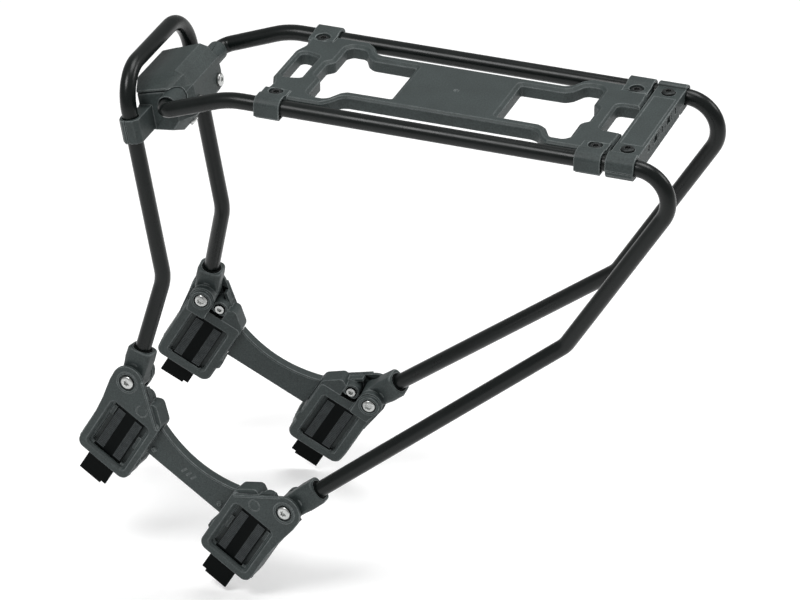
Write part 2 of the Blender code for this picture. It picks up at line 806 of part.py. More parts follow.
def clamp_housing(name, mat):
    plate_outline = [
        (BOX_U[0] + 1.5, BOX_V[0] + 3.0),
        (BOX_U[0] + 5.0, BOX_V[0]),
        (BOX_U[1] - 5.0, BOX_V[0]),
        (BOX_U[1], BOX_V[0] + 5.0),
        (BOX_U[1], -19.0),
        (37.0, -15.6),
        (6.5, 12.0),
        (1.5, 13.4),
        (-5.5, 11.6),
        (-10.4, 6.0),
        (-12.4, -2.0),
        (-12.0, -12.0),
        (-9.0, -31.0),
        (BOX_U[0] - 1.0, -44.0),
        (BOX_U[0] - 0.6, -66.0),
    ]
    plate = stack(
        name,
        [(plate_outline, CHEEK_W), (plate_outline, PLATE_W - 0.9), (grown(plate_outline, -0.9), PLATE_W)],
        LINK,
        mat,
    )
    box_outline = [
        (BOX_U[0] + 1.6, BOX_V[0] + 3.2),
        (BOX_U[0] + 5.2, BOX_V[0] + 0.1),
        (BOX_U[1] - 5.2, BOX_V[0] + 0.1),
        (BOX_U[1] - 0.1, BOX_V[0] + 5.1),
        (BOX_U[1] - 0.1, -19.5),
        (BOX_U[1] - 5.0, BOX_V[1]),
        (BOX_U[0] - 1.0, BOX_V[1]),
        (BOX_U[0] - 1.0, -66.0),
    ]
    box = stack(
        "box",
        [(grown(box_outline, -1.0), BOX_W[0]), (box_outline, BOX_W[0] + 1.0), (box_outline, PLATE_W - 1.2)],
        LINK,
    )
    saddle = block("saddle", (BOX_U[0] + 0.4, 20.0), (-24.2, -13.2), (INNER_CHEEK_W + 0.6, 2.0), LINK)
    inner = [
        (-6.4, -20.0),
        (9.6, -20.0),
        (9.6, -4.0),
        (7.4, 6.0),
        (0.0, 9.6),
        (-7.4, 6.0),
        (-9.6, -2.0),
    ]
    cheek = stack(
        "cheek",
        [(grown(inner, -0.8), INNER_CHEEK_W), (inner, INNER_CHEEK_W + 0.8), (inner, -CHEEK_W)],
        LINK,
    )
    barrel = cylinder("barrel", BARREL_R, (BARREL_W, CHEEK_W + 1.3), (WORM_U, WORM_V), LINK, 16)
    slope = [(13.0, 2.4), (24.0, -7.6), (25.6, -5.4), (14.6, 4.6)]
    wall = stack("flange", [(slope, 3.5), (slope, CHEEK_W + 0.6)], LINK)
    shoulder = [(22.0, -20.4), (39.6, -20.6), (39.6, -17.0), (38.0, -13.6), (25.0, -1.9), (22.0, -5.2)]
    hump = stack(
        "hump",
        [(grown(shoulder, -1.0), BOX_W[0] + 0.3), (shoulder, BOX_W[0] + 1.3), (shoulder, CHEEK_W + 0.8)],
        LINK,
    )
    side = [(-12.1, -4.5), (-8.8, -31.5), (-6.2, -31.5), (-9.9, -4.5)]
    lip = stack("lip", [(side, -2.7), (side, CHEEK_W + 1.0)], LINK)
    boss = cylinder("boss", 8.6, (PLATE_W - 1.0, PLATE_W + 0.8), (0.0, 0.0), LINK, 20)
    nut_boss = cylinder("nut_boss", 8.2, (INNER_CHEEK_W - 3.4, INNER_CHEEK_W + 1.0), (0.0, 0.0), LINK, 16)
    join_all(plate, box, saddle, cheek, barrel, wall, hump, lip, boss, nut_boss)
    window = rectangle(WINDOW_U, WINDOW_V)
    cut_all(
        plate,
        stack(
            "window",
            [
                (grown(window, 2.3), BOX_W[0] - 1.0),
                (window, BOX_W[0] + 1.3),
                (window, PLATE_W - 1.1),
                (grown(window, 2.1), PLATE_W + 1.0),
            ],
            LINK,
        ),
    )
    half = STRAP_W / 2.0 + 0.7
    gap = half + 0.4
    for u0, u1 in ((WINDOW_U[0] - 1.0, WORM_U - gap), (WORM_U + gap, WINDOW_U[1] + 1.0)):
        join_all(plate, block("guide", (u0, u1), (WINDOW_V[0] - 0.7, WINDOW_V[1] + 0.7), (0.4, 4.6), LINK))
    cut_all(
        plate,
        block(
            "strap_room",
            (WORM_U - half, WORM_U + half),
            (WINDOW_V[1] - 1.0, STRAP_TOP_V + 0.6),
            (STRAP_IN_W - STRAP_T / 2 - 0.6, STRAP_OUT_W + STRAP_T / 2 + 0.6),
            LINK,
        ),
        block(
            "tail_slot",
            (WORM_U - half, WORM_U + half),
            (BOX_V[0] - 3.0, WINDOW_V[0] + 1.0),
            (STRAP_OUT_W - STRAP_T / 2 - 0.5, STRAP_OUT_W + STRAP_T / 2 + 0.5),
            LINK,
        ),
        block(
            "anchor_slot",
            (WORM_U - half, WORM_U + half),
            (WINDOW_V[0] - 5.4, WINDOW_V[0] + 1.0),
            (STRAP_IN_W - STRAP_T / 2 - 0.5, STRAP_IN_W + STRAP_T / 2 + 0.5),
            LINK,
        ),
        cylinder("worm_bore", WORM_R + 0.5, (-12.0, 8.6), (WORM_U, WORM_V), LINK, 12),
        cylinder("bolt_bore", BOLT_R + 0.5, (-30.0, 30.0), (0.0, 0.0), LINK, 10),
        cylinder("head_seat", 6.0, (PLATE_W - 1.4, PLATE_W + 4.0), (0.0, 0.0), LINK, 20),
        cylinder("nut_seat", 5.9, (INNER_CHEEK_W - 6.0, INNER_CHEEK_W - 0.4), (0.0, 0.0), LINK, 16),
        block("bar_slot", (WINDOW_U[1] + 1.6, BOX_U[1] + 4.0), (-39.2, -19.7), (0.9, 6.1), LINK),
    )
    clean(plate)
    return plate


def link_bar(mat):
    """Arched bar of the left link with a tenon at each end."""
    lower = -43.2
    u0, u1 = BOX_U[1] + 0.3, LINK_LEN - BOX_U[1] - 0.3
    count = 10
    top = []
    for k in range(count + 1):
        t = k / count
        u = u0 + (u1 - u0) * t
        rise = (2.0 * t - 1.0) ** 2
        top.append((u, -22.4 + 7.0 * rise))
    outline = [(u0, lower), (u1, lower)] + top[::-1]
    bar = stack(
        "link_bar_left",
        [(grown(outline, -0.7), 0.6), (outline, 1.3), (outline, 5.7), (grown(outline, -0.7), 6.4)],
        LINK,
        mat,
    )
    for a, b in ((u0 - 4.6, u0 + 3.0), (u1 - 3.0, u1 + 4.6)):
        join_all(bar, block("tenon", (a, b), (-38.8, -20.1), (1.2, 5.8), LINK))
    cut_all(bar, stack("relief", [(relief(u0, u1), -1.0), (relief(u0, u1), 2.2)], LINK))
    clean(bar)
    return bar


def relief(u0, u1):
    """Shallow recess on the inner side of the bar."""
    return [(u0 + 8.0, -38.8), (u1 - 8.0, -38.8), (u1 - 16.0, -27.4), (u0 + 16.0, -27.4)]


def pivot_bolt(name, mat):
    place = LINK @ Matrix.Translation((0.0, 0.0, PLATE_W - 1.3))
    length = PLATE_W - 1.3 - (INNER_CHEEK_W - 2.6)
    return socket_screw(name, mat, place, 5.2, 2.6, BOLT_R, length, 2.1)


def pivot_nut(name, mat):
    """Round sleeve nut on the inner end of the pivot bolt."""
    nut = stack(
        name,
        [
            (circle(4.4, 20), INNER_CHEEK_W - 3.8),
            (circle(5.3, 20), INNER_CHEEK_W - 3.0),
            (circle(5.3, 20), INNER_CHEEK_W - 0.6),
        ],
        LINK,
        mat,
    )
    bore = (INNER_CHEEK_W - 3.0, INNER_CHEEK_W + 2.0)
    cut_all(nut, cylinder("bore", BOLT_R + 0.3, bore, place=LINK, segments=12))
    clean(nut)
    return nut


def tension_screw(name, mat):
    """Worm screw: ribbed shank with a socket in its inner end."""
    head, core = circle(3.6, 12), circle(3.2, 12)
    sections = [(head, BARREL_W - 0.8), (head, BARREL_W + 1.2), (core, BARREL_W + 1.6)]
    pitch = 2.4
    w = BARREL_W + 2.4
    while w < 5.6:
        sections.append((core, w))
        sections.append((circle(WORM_R, 12), w + pitch * 0.4))
        w += pitch
    sections.append((core, w))
    sections.append((core, 8.2))
    place = LINK @ Matrix.Translation((WORM_U, WORM_V, 0.0))
    screw = stack(name, sections, place, mat)
    cut_all(screw, stack("key", [(circle(2.0, 6), BARREL_W - 2.0), (circle(2.0, 6), BARREL_W + 1.0)], place))
    clean(screw)
    return screw


def strap(name, mat):
    """Toothed band: tail out of the bottom slot, up the outer side, over the top and down the inner side."""
    def line(offset):
        outer = STRAP_OUT_W + offset
        inner = STRAP_IN_W - offset
        top = STRAP_TOP_V - STRAP_T / 2.0 - 0.4 + offset
        r = 2.2 + offset
        points = [(outer, STRAP_END_V)]
        for k in range(4):
            t = math.pi / 2 * k / 3
            points.append((outer - r + r * math.cos(t), top - r + r * math.sin(t)))
        for k in range(4):
            t = math.pi / 2 + math.pi / 2 * k / 3
            points.append((inner + r + r * math.cos(t), top - r + r * math.sin(t)))
        points.append((inner, WINDOW_V[0] - 0.6))
        return points

    outside = line(STRAP_T / 2.0)
    inside = line(-STRAP_T / 2.0)
    bm = bmesh.new()
    rows = []
    for u in (WORM_U - STRAP_W / 2.0, WORM_U + STRAP_W / 2.0):
        rows.append([[bm.verts.new(LINK @ Vector((u, v, w))) for w, v in side] for side in (outside, inside)])
    (near_out, near_in), (far_out, far_in) = rows
    for i in range(len(outside) - 1):
        bm.faces.new((near_out[i], near_out[i + 1], far_out[i + 1], far_out[i]))
        bm.faces.new((near_in[i], far_in[i], far_in[i + 1], near_in[i + 1]))
        bm.faces.new((near_out[i], near_in[i], near_in[i + 1], near_out[i + 1]))
        bm.faces.new((far_out[i], far_out[i + 1], far_in[i + 1], far_in[i]))
    for i in (0, -1):
        bm.faces.new((near_out[i], far_out[i], far_in[i], near_in[i]))
    return object_from(bm, name, mat)


# ---------------------------------------------------------------- assembly


def build():
    clear_scene()
    plastic = make_material("grey_plastic", (0.075, 0.088, 0.088), 0.48)
    cover = make_material("grey_cover", (0.092, 0.105, 0.103), 0.5)
    painted = make_material("black_tube", (0.017, 0.022, 0.020), 0.3, 0.3)
    steel = make_material("bright_steel", (0.62, 0.63, 0.62), 0.25, 1.0)
    dark_steel = make_material("black_screw", (0.03, 0.034, 0.034), 0.4, 0.8)
    band = make_material("black_band", (0.018, 0.024, 0.024), 0.6)
    rubber = make_material("dark_sleeve", (0.012, 0.014, 0.014), 0.7)

    tube_end = 14.0
    tube("side_tube_left", side_tube_path(-1.0, tube_end), painted)
    tube("side_tube_right", side_tube_path(1.0, tube_end), painted)
    tube("front_hoop", hoop_path(tube_end), painted)

    deck_plate(plastic)
    for sx, end in ((-1.0, "front"), (1.0, "rear")):
        for sy, hand in ((-1.0, "left"), (1.0, "right")):
            deck_clip(f"deck_clip_{end}_{hand}", sx, sy, plastic)
            place = upright(sx * SCREW_X, sy * SCREW_Y, -2.2)
            socket_screw(f"deck_screw_{end}_{hand}", dark_steel, place, 4.9, 2.6, 2.5, 11.4, 2.1)

    light_bracket(plastic)
    mid = (BRACKET_X0 + BRACKET_X1) / 2.0
    for sy, hand in ((-1.0, "left"), (1.0, "right")):
        bracket_clip(f"bracket_clip_{hand}", sy, plastic)
        place = upright(mid, sy * BRACKET_SCREW_Y, 0.5)
        socket_screw(f"bracket_screw_{hand}", dark_steel, place, 4.9, 2.6, 2.5, 13.6, 2.1)

    bridge_block(plastic)
    bridge_hood(cover)
    for sy, hand in ((-1.0, "left"), (1.0, "right")):
        leg_clip(f"leg_clip_{hand}", sy, plastic)
        leg_screw(f"leg_screw_{hand}", sy, dark_steel)
        place = upper_screw_place(sy) @ Matrix.Translation((0, 0, 0.3))
        socket_screw(f"bridge_screw_upper_{hand}", steel, place, 4.9, 2.2, 2.0, 13.0, 2.1)
        place = lower_screw_place(sy) @ Matrix.Translation((0, 0, 0.3))
        socket_screw(f"bridge_screw_lower_{hand}", steel, place, 3.8, 2.0, 2.0, 11.0, 1.7)

    front = left(FRONT_PIVOT)
    rear = left(REAR_PIVOT)
    low = Vector((HOOP_LOW.x, -HOOP_Y, HOOP_LOW.z))
    strut = left(STRUT_BEND)
    pieces = [
        knuckle("front_knuckle_left", front, low, 24.5, 9.0, BOLT_R + 0.35, plastic),
        knuckle("rear_knuckle_left", rear, strut, 28.0, 8.5, BOLT_R + 1.35, plastic),
        sleeve("front_sleeve_left", front, low, 24.5, rubber),
        sleeve("rear_sleeve_left", rear, strut, 28.0, rubber),
        link_bar(plastic),
    ]
    for maker, base, mat in (
        (clamp_housing, "clamp_housing", plastic),
        (pivot_bolt, "pivot_bolt", steel),
        (pivot_nut, "pivot_nut", steel),
        (tension_screw, "tension_screw", steel),
        (strap, "strap", band),
    ):
        piece = maker(f"{base}_front_left", mat)
        pieces.append(piece)
        pieces.append(mirrored(piece, f"{base}_rear_left", LINK_MIRROR))
    for piece in pieces:
        mirrored(piece, piece.name.replace("_left", "_right"), FLIP_Y)


build()
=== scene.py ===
"""Looks of the bicycle rear rack: tubes, deck, clamps, screws and bands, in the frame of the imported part."""

import json
import math

import bpy
from mathutils import Matrix, Vector

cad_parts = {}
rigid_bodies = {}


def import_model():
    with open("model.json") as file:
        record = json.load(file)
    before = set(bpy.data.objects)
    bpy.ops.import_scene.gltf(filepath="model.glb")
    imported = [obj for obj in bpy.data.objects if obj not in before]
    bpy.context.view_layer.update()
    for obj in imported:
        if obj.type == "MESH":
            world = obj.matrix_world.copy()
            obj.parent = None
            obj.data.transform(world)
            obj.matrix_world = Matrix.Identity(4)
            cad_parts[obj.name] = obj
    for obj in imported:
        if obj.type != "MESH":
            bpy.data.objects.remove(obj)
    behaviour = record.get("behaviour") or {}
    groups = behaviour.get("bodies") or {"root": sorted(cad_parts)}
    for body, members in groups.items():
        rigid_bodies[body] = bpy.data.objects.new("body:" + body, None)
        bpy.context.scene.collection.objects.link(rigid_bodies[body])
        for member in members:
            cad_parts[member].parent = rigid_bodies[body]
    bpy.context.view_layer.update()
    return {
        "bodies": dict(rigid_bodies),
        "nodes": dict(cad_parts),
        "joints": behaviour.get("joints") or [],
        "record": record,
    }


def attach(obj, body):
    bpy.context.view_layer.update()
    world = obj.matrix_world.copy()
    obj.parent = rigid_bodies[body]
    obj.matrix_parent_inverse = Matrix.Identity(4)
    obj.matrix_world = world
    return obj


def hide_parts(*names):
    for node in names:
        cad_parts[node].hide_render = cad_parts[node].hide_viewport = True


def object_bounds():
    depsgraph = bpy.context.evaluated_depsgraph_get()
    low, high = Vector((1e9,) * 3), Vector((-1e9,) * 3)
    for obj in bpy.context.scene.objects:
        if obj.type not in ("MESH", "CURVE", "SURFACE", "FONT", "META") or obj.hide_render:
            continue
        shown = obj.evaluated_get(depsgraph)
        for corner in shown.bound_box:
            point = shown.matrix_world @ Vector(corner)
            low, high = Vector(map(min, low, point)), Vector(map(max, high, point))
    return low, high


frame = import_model()
NODES = frame["nodes"]
BODY_OF = {node: body for body, nodes in frame["record"]["behaviour"]["bodies"].items() for node in nodes}
SLOT_OF = {row["node"]: row["material_slot"] for row in frame["record"]["subparts"]}

MM = 0.001
HANDS = (("left", -1.0), ("right", 1.0))
ENDS = ("front", "rear")

# Tubes, as the part has them, in millimetres
TUBE_R = 6.0
TUBE_WALL = 1.5
RAIL_Y = 59.6
RAIL_Z = -5.8
STUB_END_Y = 30.0
STUB_AXIS = Vector((-206.65, 0.0, -25.7))
STUB_Y = 57.9
FRONT_BEND_X = -153.85
REAR_BEND_X = 198.85
STRUT_BEND = Vector((105.85, 59.6, -159.0))
SIDE_RADII = (8.5, 60.0, 24.5, 22.0)
HOOP_Y = 58.0
HOOP_TOP = Vector((-237.7, 0.0, -2.4))
HOOP_LOW = Vector((-209.05, 0.0, -164.6))
HOOP_RADII = (32.0, 28.0, 28.0, 32.0)
FRONT_PIVOT = Vector((-229.05, 71.2, -246.0))
REAR_PIVOT = Vector((-97.45, 87.9, -322.6))
TUBE_END_BACK = 14.0
BEND_STEP = 5.0  # degrees of bend between two rings of a tube
BORE_R = 6.3

# Deck and light bracket
DECK_HALF_Y = 36.0
DECK_T = 10.4
SCREW_X = 121.45
SCREW_Y = 47.2
CLIP_LEN = 19.5
CLIP_OUT_Y = 67.8
CLIP_LOW_Z = -12.1
PLATE_CHAMFER = 1.7
POCKET_ROOF = -3.0
SCREW_BORE_R = 2.9
SCREW_SEAT_R = 5.4
BRACKET_X0 = 134.7
BRACKET_X1 = 155.9
BRACKET_TOP = 3.7
BRACKET_BOTTOM = -13.5
BRACKET_SCREW_Y = 47.5
BRACKET_WALL = 2.4
BRACKET_HALF_Y = 39.0
BRACKET_CLIP_Z = -7.6
LAMP_HOLE_Y = 30.0
POCKET_Z = (-6.4, -0.6)
POCKET_DEEP = 4.0

# Clamps, in the link's own frame: u along the link, v up the stay, w outward
BOX_U = (-7.4, 40.2)
BOX_V = (-74.5, -14.0)
BOX_W = (-4.0, 12.0)
WINDOW_U = (0.6, 32.0)
WINDOW_V = (-66.0, -24.0)
CHEEK_W = 9.3
PLATE_W = 12.0
INNER_CHEEK_W = -14.0
WORM_U = 16.3
WORM_V = -7.6
WORM_R = 4.1
BARREL_R = 6.6
BARREL_W = -3.0
BOLT_R = 3.0
STRAP_W = 24.0
STRAP_T = 1.8
STRAP_OUT_W = 7.2
STRAP_IN_W = -1.6
STRAP_TOP_V = -12.6
STRAP_END_V = -94.0
STRAP_ROOM = 0.5
RIB_PITCH = 1.45
EYE_R = 9.4
HEAD_SINK = 1.3
NUT_SINK = 0.7
PIN_GAP = 0.35

FLIP_X = Matrix.Diagonal((-1.0, 1.0, 1.0, 1.0))
FLIP_Y = Matrix.Diagonal((1.0, -1.0, 1.0, 1.0))


# ---------------------------------------------------------------- hand tools


def deselect():
    if bpy.context.mode != "OBJECT":
        bpy.ops.object.mode_set(mode="OBJECT")
    bpy.ops.object.select_all(action="DESELECT")


def pick(obj):
    deselect()
    obj.select_set(True)
    bpy.context.view_layer.objects.active = obj


def edit(obj):
    pick(obj)
    bpy.ops.object.mode_set(mode="EDIT")
    bpy.ops.mesh.select_all(action="SELECT")


def leave_edit():
    bpy.ops.object.mode_set(mode="OBJECT")


def apply_modifier(obj, kind, name, **values):
    pick(obj)
    modifier = obj.modifiers.new(name, kind)
    for key, value in values.items():
        setattr(modifier, key, value)
    bpy.ops.object.modifier_apply(modifier=modifier.name)


def soften(obj, width, segments=2, angle=32.0):
    """Rounds every edge sharper than the angle, as a moulding or a turned piece has it."""
    apply_modifier(
        obj,
        "BEVEL",
        "soft_edge",
        width=width * MM,
        segments=segments,
        limit_method="ANGLE",
        angle_limit=math.radians(angle),
        use_clamp_overlap=False,
        harden_normals=False,
        miter_outer="MITER_ARC",
    )


def smooth(obj, angle=30.0):
    pick(obj)
    bpy.ops.object.shade_smooth_by_angle(angle=math.radians(angle))


def even_shading(obj):
    """Flat faces keep their flat shade right up to their rounded edges."""
    apply_modifier(obj, "WEIGHTED_NORMAL", "even", weight=100, keep_sharp=True)


def moved(x, y, z):
    """Shift by millimetres, as a matrix."""
    return Matrix.Translation(Vector((x, y, z)) * MM)


def turned(degrees, axis="Z"):
    return Matrix.Rotation(math.radians(degrees), 4, axis)


def finish_piece(obj, body, slot, material, *stands_for):
    """Puts a made piece on its body, with its finish, in place of its CAD nodes."""
    if not obj.data.materials:
        obj.data.materials.append(material)
    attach(obj, body)
    if stands_for:
        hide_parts(*stands_for)
    return obj


def copy_of_node(node, name):
    """A loose copy of a CAD node, its triangles merged into flat faces, ready to be worked."""
    pick(NODES[node])
    bpy.ops.object.duplicate()
    obj = bpy.context.view_layer.objects.active
    obj.parent = None
    obj.matrix_world = Matrix.Identity(4)
    for key in list(obj.keys()):
        del obj[key]
    obj.name = name
    obj.data.materials.clear()
    edit(obj)
    bpy.ops.mesh.remove_doubles(threshold=0.000002)
    bpy.ops.mesh.dissolve_limited(angle_limit=math.radians(0.6))
    if obj.data.has_custom_normals:
        bpy.ops.mesh.customdata_custom_splitnormals_clear()
    leave_edit()
    return obj


# ---------------------------------------------------------------- finishes


def new_material(name, colour, roughness, metallic=0.0):
    material = bpy.data.materials.new(name)
    material.use_nodes = True
    shader = material.node_tree.nodes["Principled BSDF"]
    shader.inputs["Base Color"].default_value = (*colour, 1.0)
    shader.inputs["Roughness"].default_value = roughness
    shader.inputs["Metallic"].default_value = metallic
    material.diffuse_color = (*colour, 1.0)
    return material, material.node_tree, shader


def new_group(name, inputs, outputs):
    """Shader group with named sockets; each socket is (name, type, value)."""
    tree = bpy.data.node_groups.new(name, "ShaderNodeTree")
    for label, kind, value in inputs:
        socket = tree.interface.new_socket(label, in_out="INPUT", socket_type=kind)
        if value is not None:
            socket.default_value = value
    for label, kind in outputs:
        tree.interface.new_socket(label, in_out="OUTPUT", socket_type=kind)
    start = tree.nodes.new("NodeGroupInput")
    end = tree.nodes.new("NodeGroupOutput")
    return tree, start, end


def add(tree, kind, links=(), **values):
    """New node; links are (its socket, source socket), values its settings."""
    node = tree.nodes.new(kind)
    for key, value in values.items():
        setattr(node, key, value)
    for socket, source in links:
        if hasattr(source, "links"):
            tree.links.new(source, node.inputs[socket])
        else:
            node.inputs[socket].default_value = source
    return node


def noise(tree, place, scale, detail, roughness=0.5):
    settings = [("Vector", place), ("Scale", scale), ("Detail", detail), ("Roughness", roughness)]
    return add(tree, "ShaderNodeTexNoise", settings).outputs["Fac"]


def ranged(tree, value, low, high, to_low, to_high):
    """Value stretched from one range to another, and held there."""
    settings = [("Value", value), ("From Min", low), ("From Max", high)]
    settings += [("To Min", to_low), ("To Max", to_high)]
    return add(tree, "ShaderNodeMapRange", settings).outputs[0]


def maths(tree, operation, *terms):
    return add(tree, "ShaderNodeMath", list(enumerate(terms)), operation=operation).outputs[0]


NOISE_SPAN = (0.3, 0.7)  # where most of a noise's values lie
MOTTLE_SCALE = 38.0
MOTTLE_SHADE = (0.86, 1.12)
MOTTLE_GLOSS = (-0.05, 0.06)
SPECK_SHADE = (0.72, 1.28)
# The edge mask below finds rounded edges, where a lighter colour is mixed in as a painted highlight.
EDGE_RADIUS = 0.0009
EDGE_TURN = (0.9992, 0.975)  # cosine between the true and the rounded normal, flat face to edge
# Noise that breaks the painted edge highlight into patches, and how much glossier the highlighted edge gets.
HIGHLIGHT_PATCH_SCALE = 160.0
HIGHLIGHT_PATCH_SPAN = (0.35, 0.6)
HIGHLIGHT_PATCH_AMOUNT = (0.35, 1.0)
HIGHLIGHT_GLOSS = -0.12
GRAIN_STRENGTH = 0.6


def moulded_grain_group():
    """Fine spark-eroded grain of a plastic moulding, with slow shade and gloss changes, and a painted
    highlight along the rounded edges, broken into patches by noise.
    """
    tree, start, end = new_group(
        "moulded_grain",
        [
            ("Colour", "NodeSocketColor", (0.1, 0.1, 0.1, 1.0)),
            ("Edge Highlight Colour", "NodeSocketColor", (0.2, 0.2, 0.2, 1.0)),
            ("Roughness", "NodeSocketFloat", 0.5),
            ("Grain Size", "NodeSocketFloat", 1400.0),
            ("Grain Depth", "NodeSocketFloat", 0.00004),
            ("Edge Highlight Amount", "NodeSocketFloat", 0.5),
        ],
        [("Colour", "NodeSocketColor"), ("Roughness", "NodeSocketFloat"), ("Normal", "NodeSocketVector")],
    )
    given = start.outputs
    place = add(tree, "ShaderNodeTexCoord").outputs["Object"]
    fine = noise(tree, place, given["Grain Size"], 3.0)
    broad = noise(tree, place, MOTTLE_SCALE, 4.0, 0.6)
    patch = ranged(tree, broad, *NOISE_SPAN, *MOTTLE_SHADE)
    speck = ranged(tree, fine, *NOISE_SPAN, *SPECK_SHADE)
    shade = maths(tree, "MULTIPLY", patch, speck)
    scaled = [(0, given["Colour"]), ("Scale", shade)]
    tone = add(tree, "ShaderNodeVectorMath", scaled, operation="SCALE").outputs[0]
    rounded_normal = add(tree, "ShaderNodeBevel", [("Radius", EDGE_RADIUS)], samples=4).outputs[0]
    true_normal = add(tree, "ShaderNodeNewGeometry").outputs["Normal"]
    normals = [(0, rounded_normal), (1, true_normal)]
    alike = add(tree, "ShaderNodeVectorMath", normals, operation="DOT_PRODUCT").outputs["Value"]
    edge = ranged(tree, alike, *EDGE_TURN, 0.0, 1.0)
    # Painted highlight: a lighter colour along the edges, in patches, scaled by the group's amount input.
    highlight_patches = noise(tree, place, HIGHLIGHT_PATCH_SCALE, 5.0, 0.7)
    patchy_highlight = maths(tree, "MULTIPLY", edge, ranged(tree, highlight_patches, *HIGHLIGHT_PATCH_SPAN, *HIGHLIGHT_PATCH_AMOUNT))
    edge_highlight = maths(tree, "MULTIPLY", patchy_highlight, given["Edge Highlight Amount"])
    # Mixes the painted edge highlight colour over the grained tone.
    mixed = add(tree, "ShaderNodeMix", data_type="RGBA")
    for socket, source in ((0, edge_highlight), (6, tone), (7, given["Edge Highlight Colour"])):
        tree.links.new(source, mixed.inputs[socket])
    gloss = ranged(tree, broad, *NOISE_SPAN, *MOTTLE_GLOSS)
    rough = maths(tree, "ADD", given["Roughness"], gloss)
    grain = [("Height", fine), ("Distance", given["Grain Depth"]), ("Strength", GRAIN_STRENGTH)]
    tree.links.new(mixed.outputs[2], end.inputs["Colour"])
    tree.links.new(maths(tree, "MULTIPLY_ADD", edge_highlight, HIGHLIGHT_GLOSS, rough), end.inputs["Roughness"])
    tree.links.new(add(tree, "ShaderNodeBump", grain).outputs[0], end.inputs["Normal"])
    return tree


GRAIN = moulded_grain_group()


def grained(name, colour, highlight_colour, roughness, grain, edge_highlight, metallic=0.0, specular=0.5):
    """Material with the shared grain and a painted highlight along its edges; grain is (how fine, how deep in
    metres), the second colour is the painted edge highlight's colour, and the argument after grain is its
    amount.
    """
    material, tree, shader = new_material(name, colour, roughness, metallic)
    group = add(tree, "ShaderNodeGroup", node_tree=GRAIN)
    group.inputs["Colour"].default_value = (*colour, 1.0)
    group.inputs["Edge Highlight Colour"].default_value = (*highlight_colour, 1.0)
    group.inputs["Roughness"].default_value = roughness
    group.inputs["Grain Size"].default_value = grain[0]
    group.inputs["Grain Depth"].default_value = grain[1]
    group.inputs["Edge Highlight Amount"].default_value = edge_highlight
    for socket, label in (("Colour", "Base Color"), ("Roughness", "Roughness"), ("Normal", "Normal")):
        tree.links.new(group.outputs[socket], shader.inputs[label])
    shader.inputs["Specular IOR Level"].default_value = specular
    return material


MOULDED = (900.0, 0.00006)
COATED = (900.0, 0.00004)
PLATED = (1800.0, 0.00003)
BLACKENED = (1800.0, 0.00002)
DRAWN_NYLON = (1200.0, 0.00003)
# Lighter colours of the painted edge highlight, one for each finish.
PALE_HIGHLIGHT = (0.2, 0.22, 0.22)
PLASTIC = grained("grey_moulding", (0.032, 0.041, 0.0405), PALE_HIGHLIGHT, 0.52, MOULDED, 0.9, specular=0.28)
COVER = grained("hood_moulding", (0.036, 0.045, 0.044), PALE_HIGHLIGHT, 0.54, MOULDED, 0.8, specular=0.28)
PAINT_HIGHLIGHT = (0.03, 0.034, 0.034)
PAINT = grained("black_powder_coat", (0.0028, 0.0045, 0.0042), PAINT_HIGHLIGHT, 0.29, COATED, 0.25, specular=0.26)
STEEL = grained("bright_zinc", (0.5, 0.51, 0.5), (0.7, 0.7, 0.69), 0.3, PLATED, 0.3, metallic=1.0)
BLACK_STEEL_HIGHLIGHT = (0.16, 0.16, 0.16)
BLACK_STEEL = grained("blackened_steel", (0.012, 0.015, 0.015), BLACK_STEEL_HIGHLIGHT, 0.42, BLACKENED, 0.5, 0.5, 0.3)
BAND_HIGHLIGHT = (0.02, 0.023, 0.023)
BAND = grained("black_nylon", (0.0015, 0.0024, 0.0024), BAND_HIGHLIGHT, 0.5, DRAWN_NYLON, 0.4, specular=0.05)
# The ribs are the band's black nylon, given a lighter colour as a painted highlight on the ribs, plus a strong
# painted edge highlight.
RIB_HIGHLIGHT = (0.07, 0.078, 0.08)
RIB = grained("highlighted_band_rib", (0.022, 0.027, 0.028), RIB_HIGHLIGHT, 0.5, DRAWN_NYLON, 0.9, specular=0.2)
LINING_HIGHLIGHT = (0.01, 0.01, 0.01)
LINING = grained("black_lining", (0.003, 0.004, 0.004), LINING_HIGHLIGHT, 0.65, DRAWN_NYLON, 0.2, specular=0.08)
FINISH = {
    "grey_plastic": PLASTIC,
    "grey_cover": COVER,
    "black_tube": PAINT,
    "bright_steel": STEEL,
    "black_screw": BLACK_STEEL,
    "black_band": BAND,
    "dark_sleeve": LINING,
}


# ---------------------------------------------------------------- tubes


def ring_start(name, centre, along):
    """Open circle of the tube's outer radius, square to the way it will be drawn."""
    turn = along.to_track_quat("Z", "Y").to_euler()
    bpy.ops.mesh.primitive_circle_add(vertices=40, radius=TUBE_R * MM, location=centre * MM, rotation=turn)
    obj = bpy.context.view_layer.objects.active
    obj.name = name
    pick(obj)
    bpy.ops.object.transform_apply(location=True, rotation=True, scale=True)
    return obj


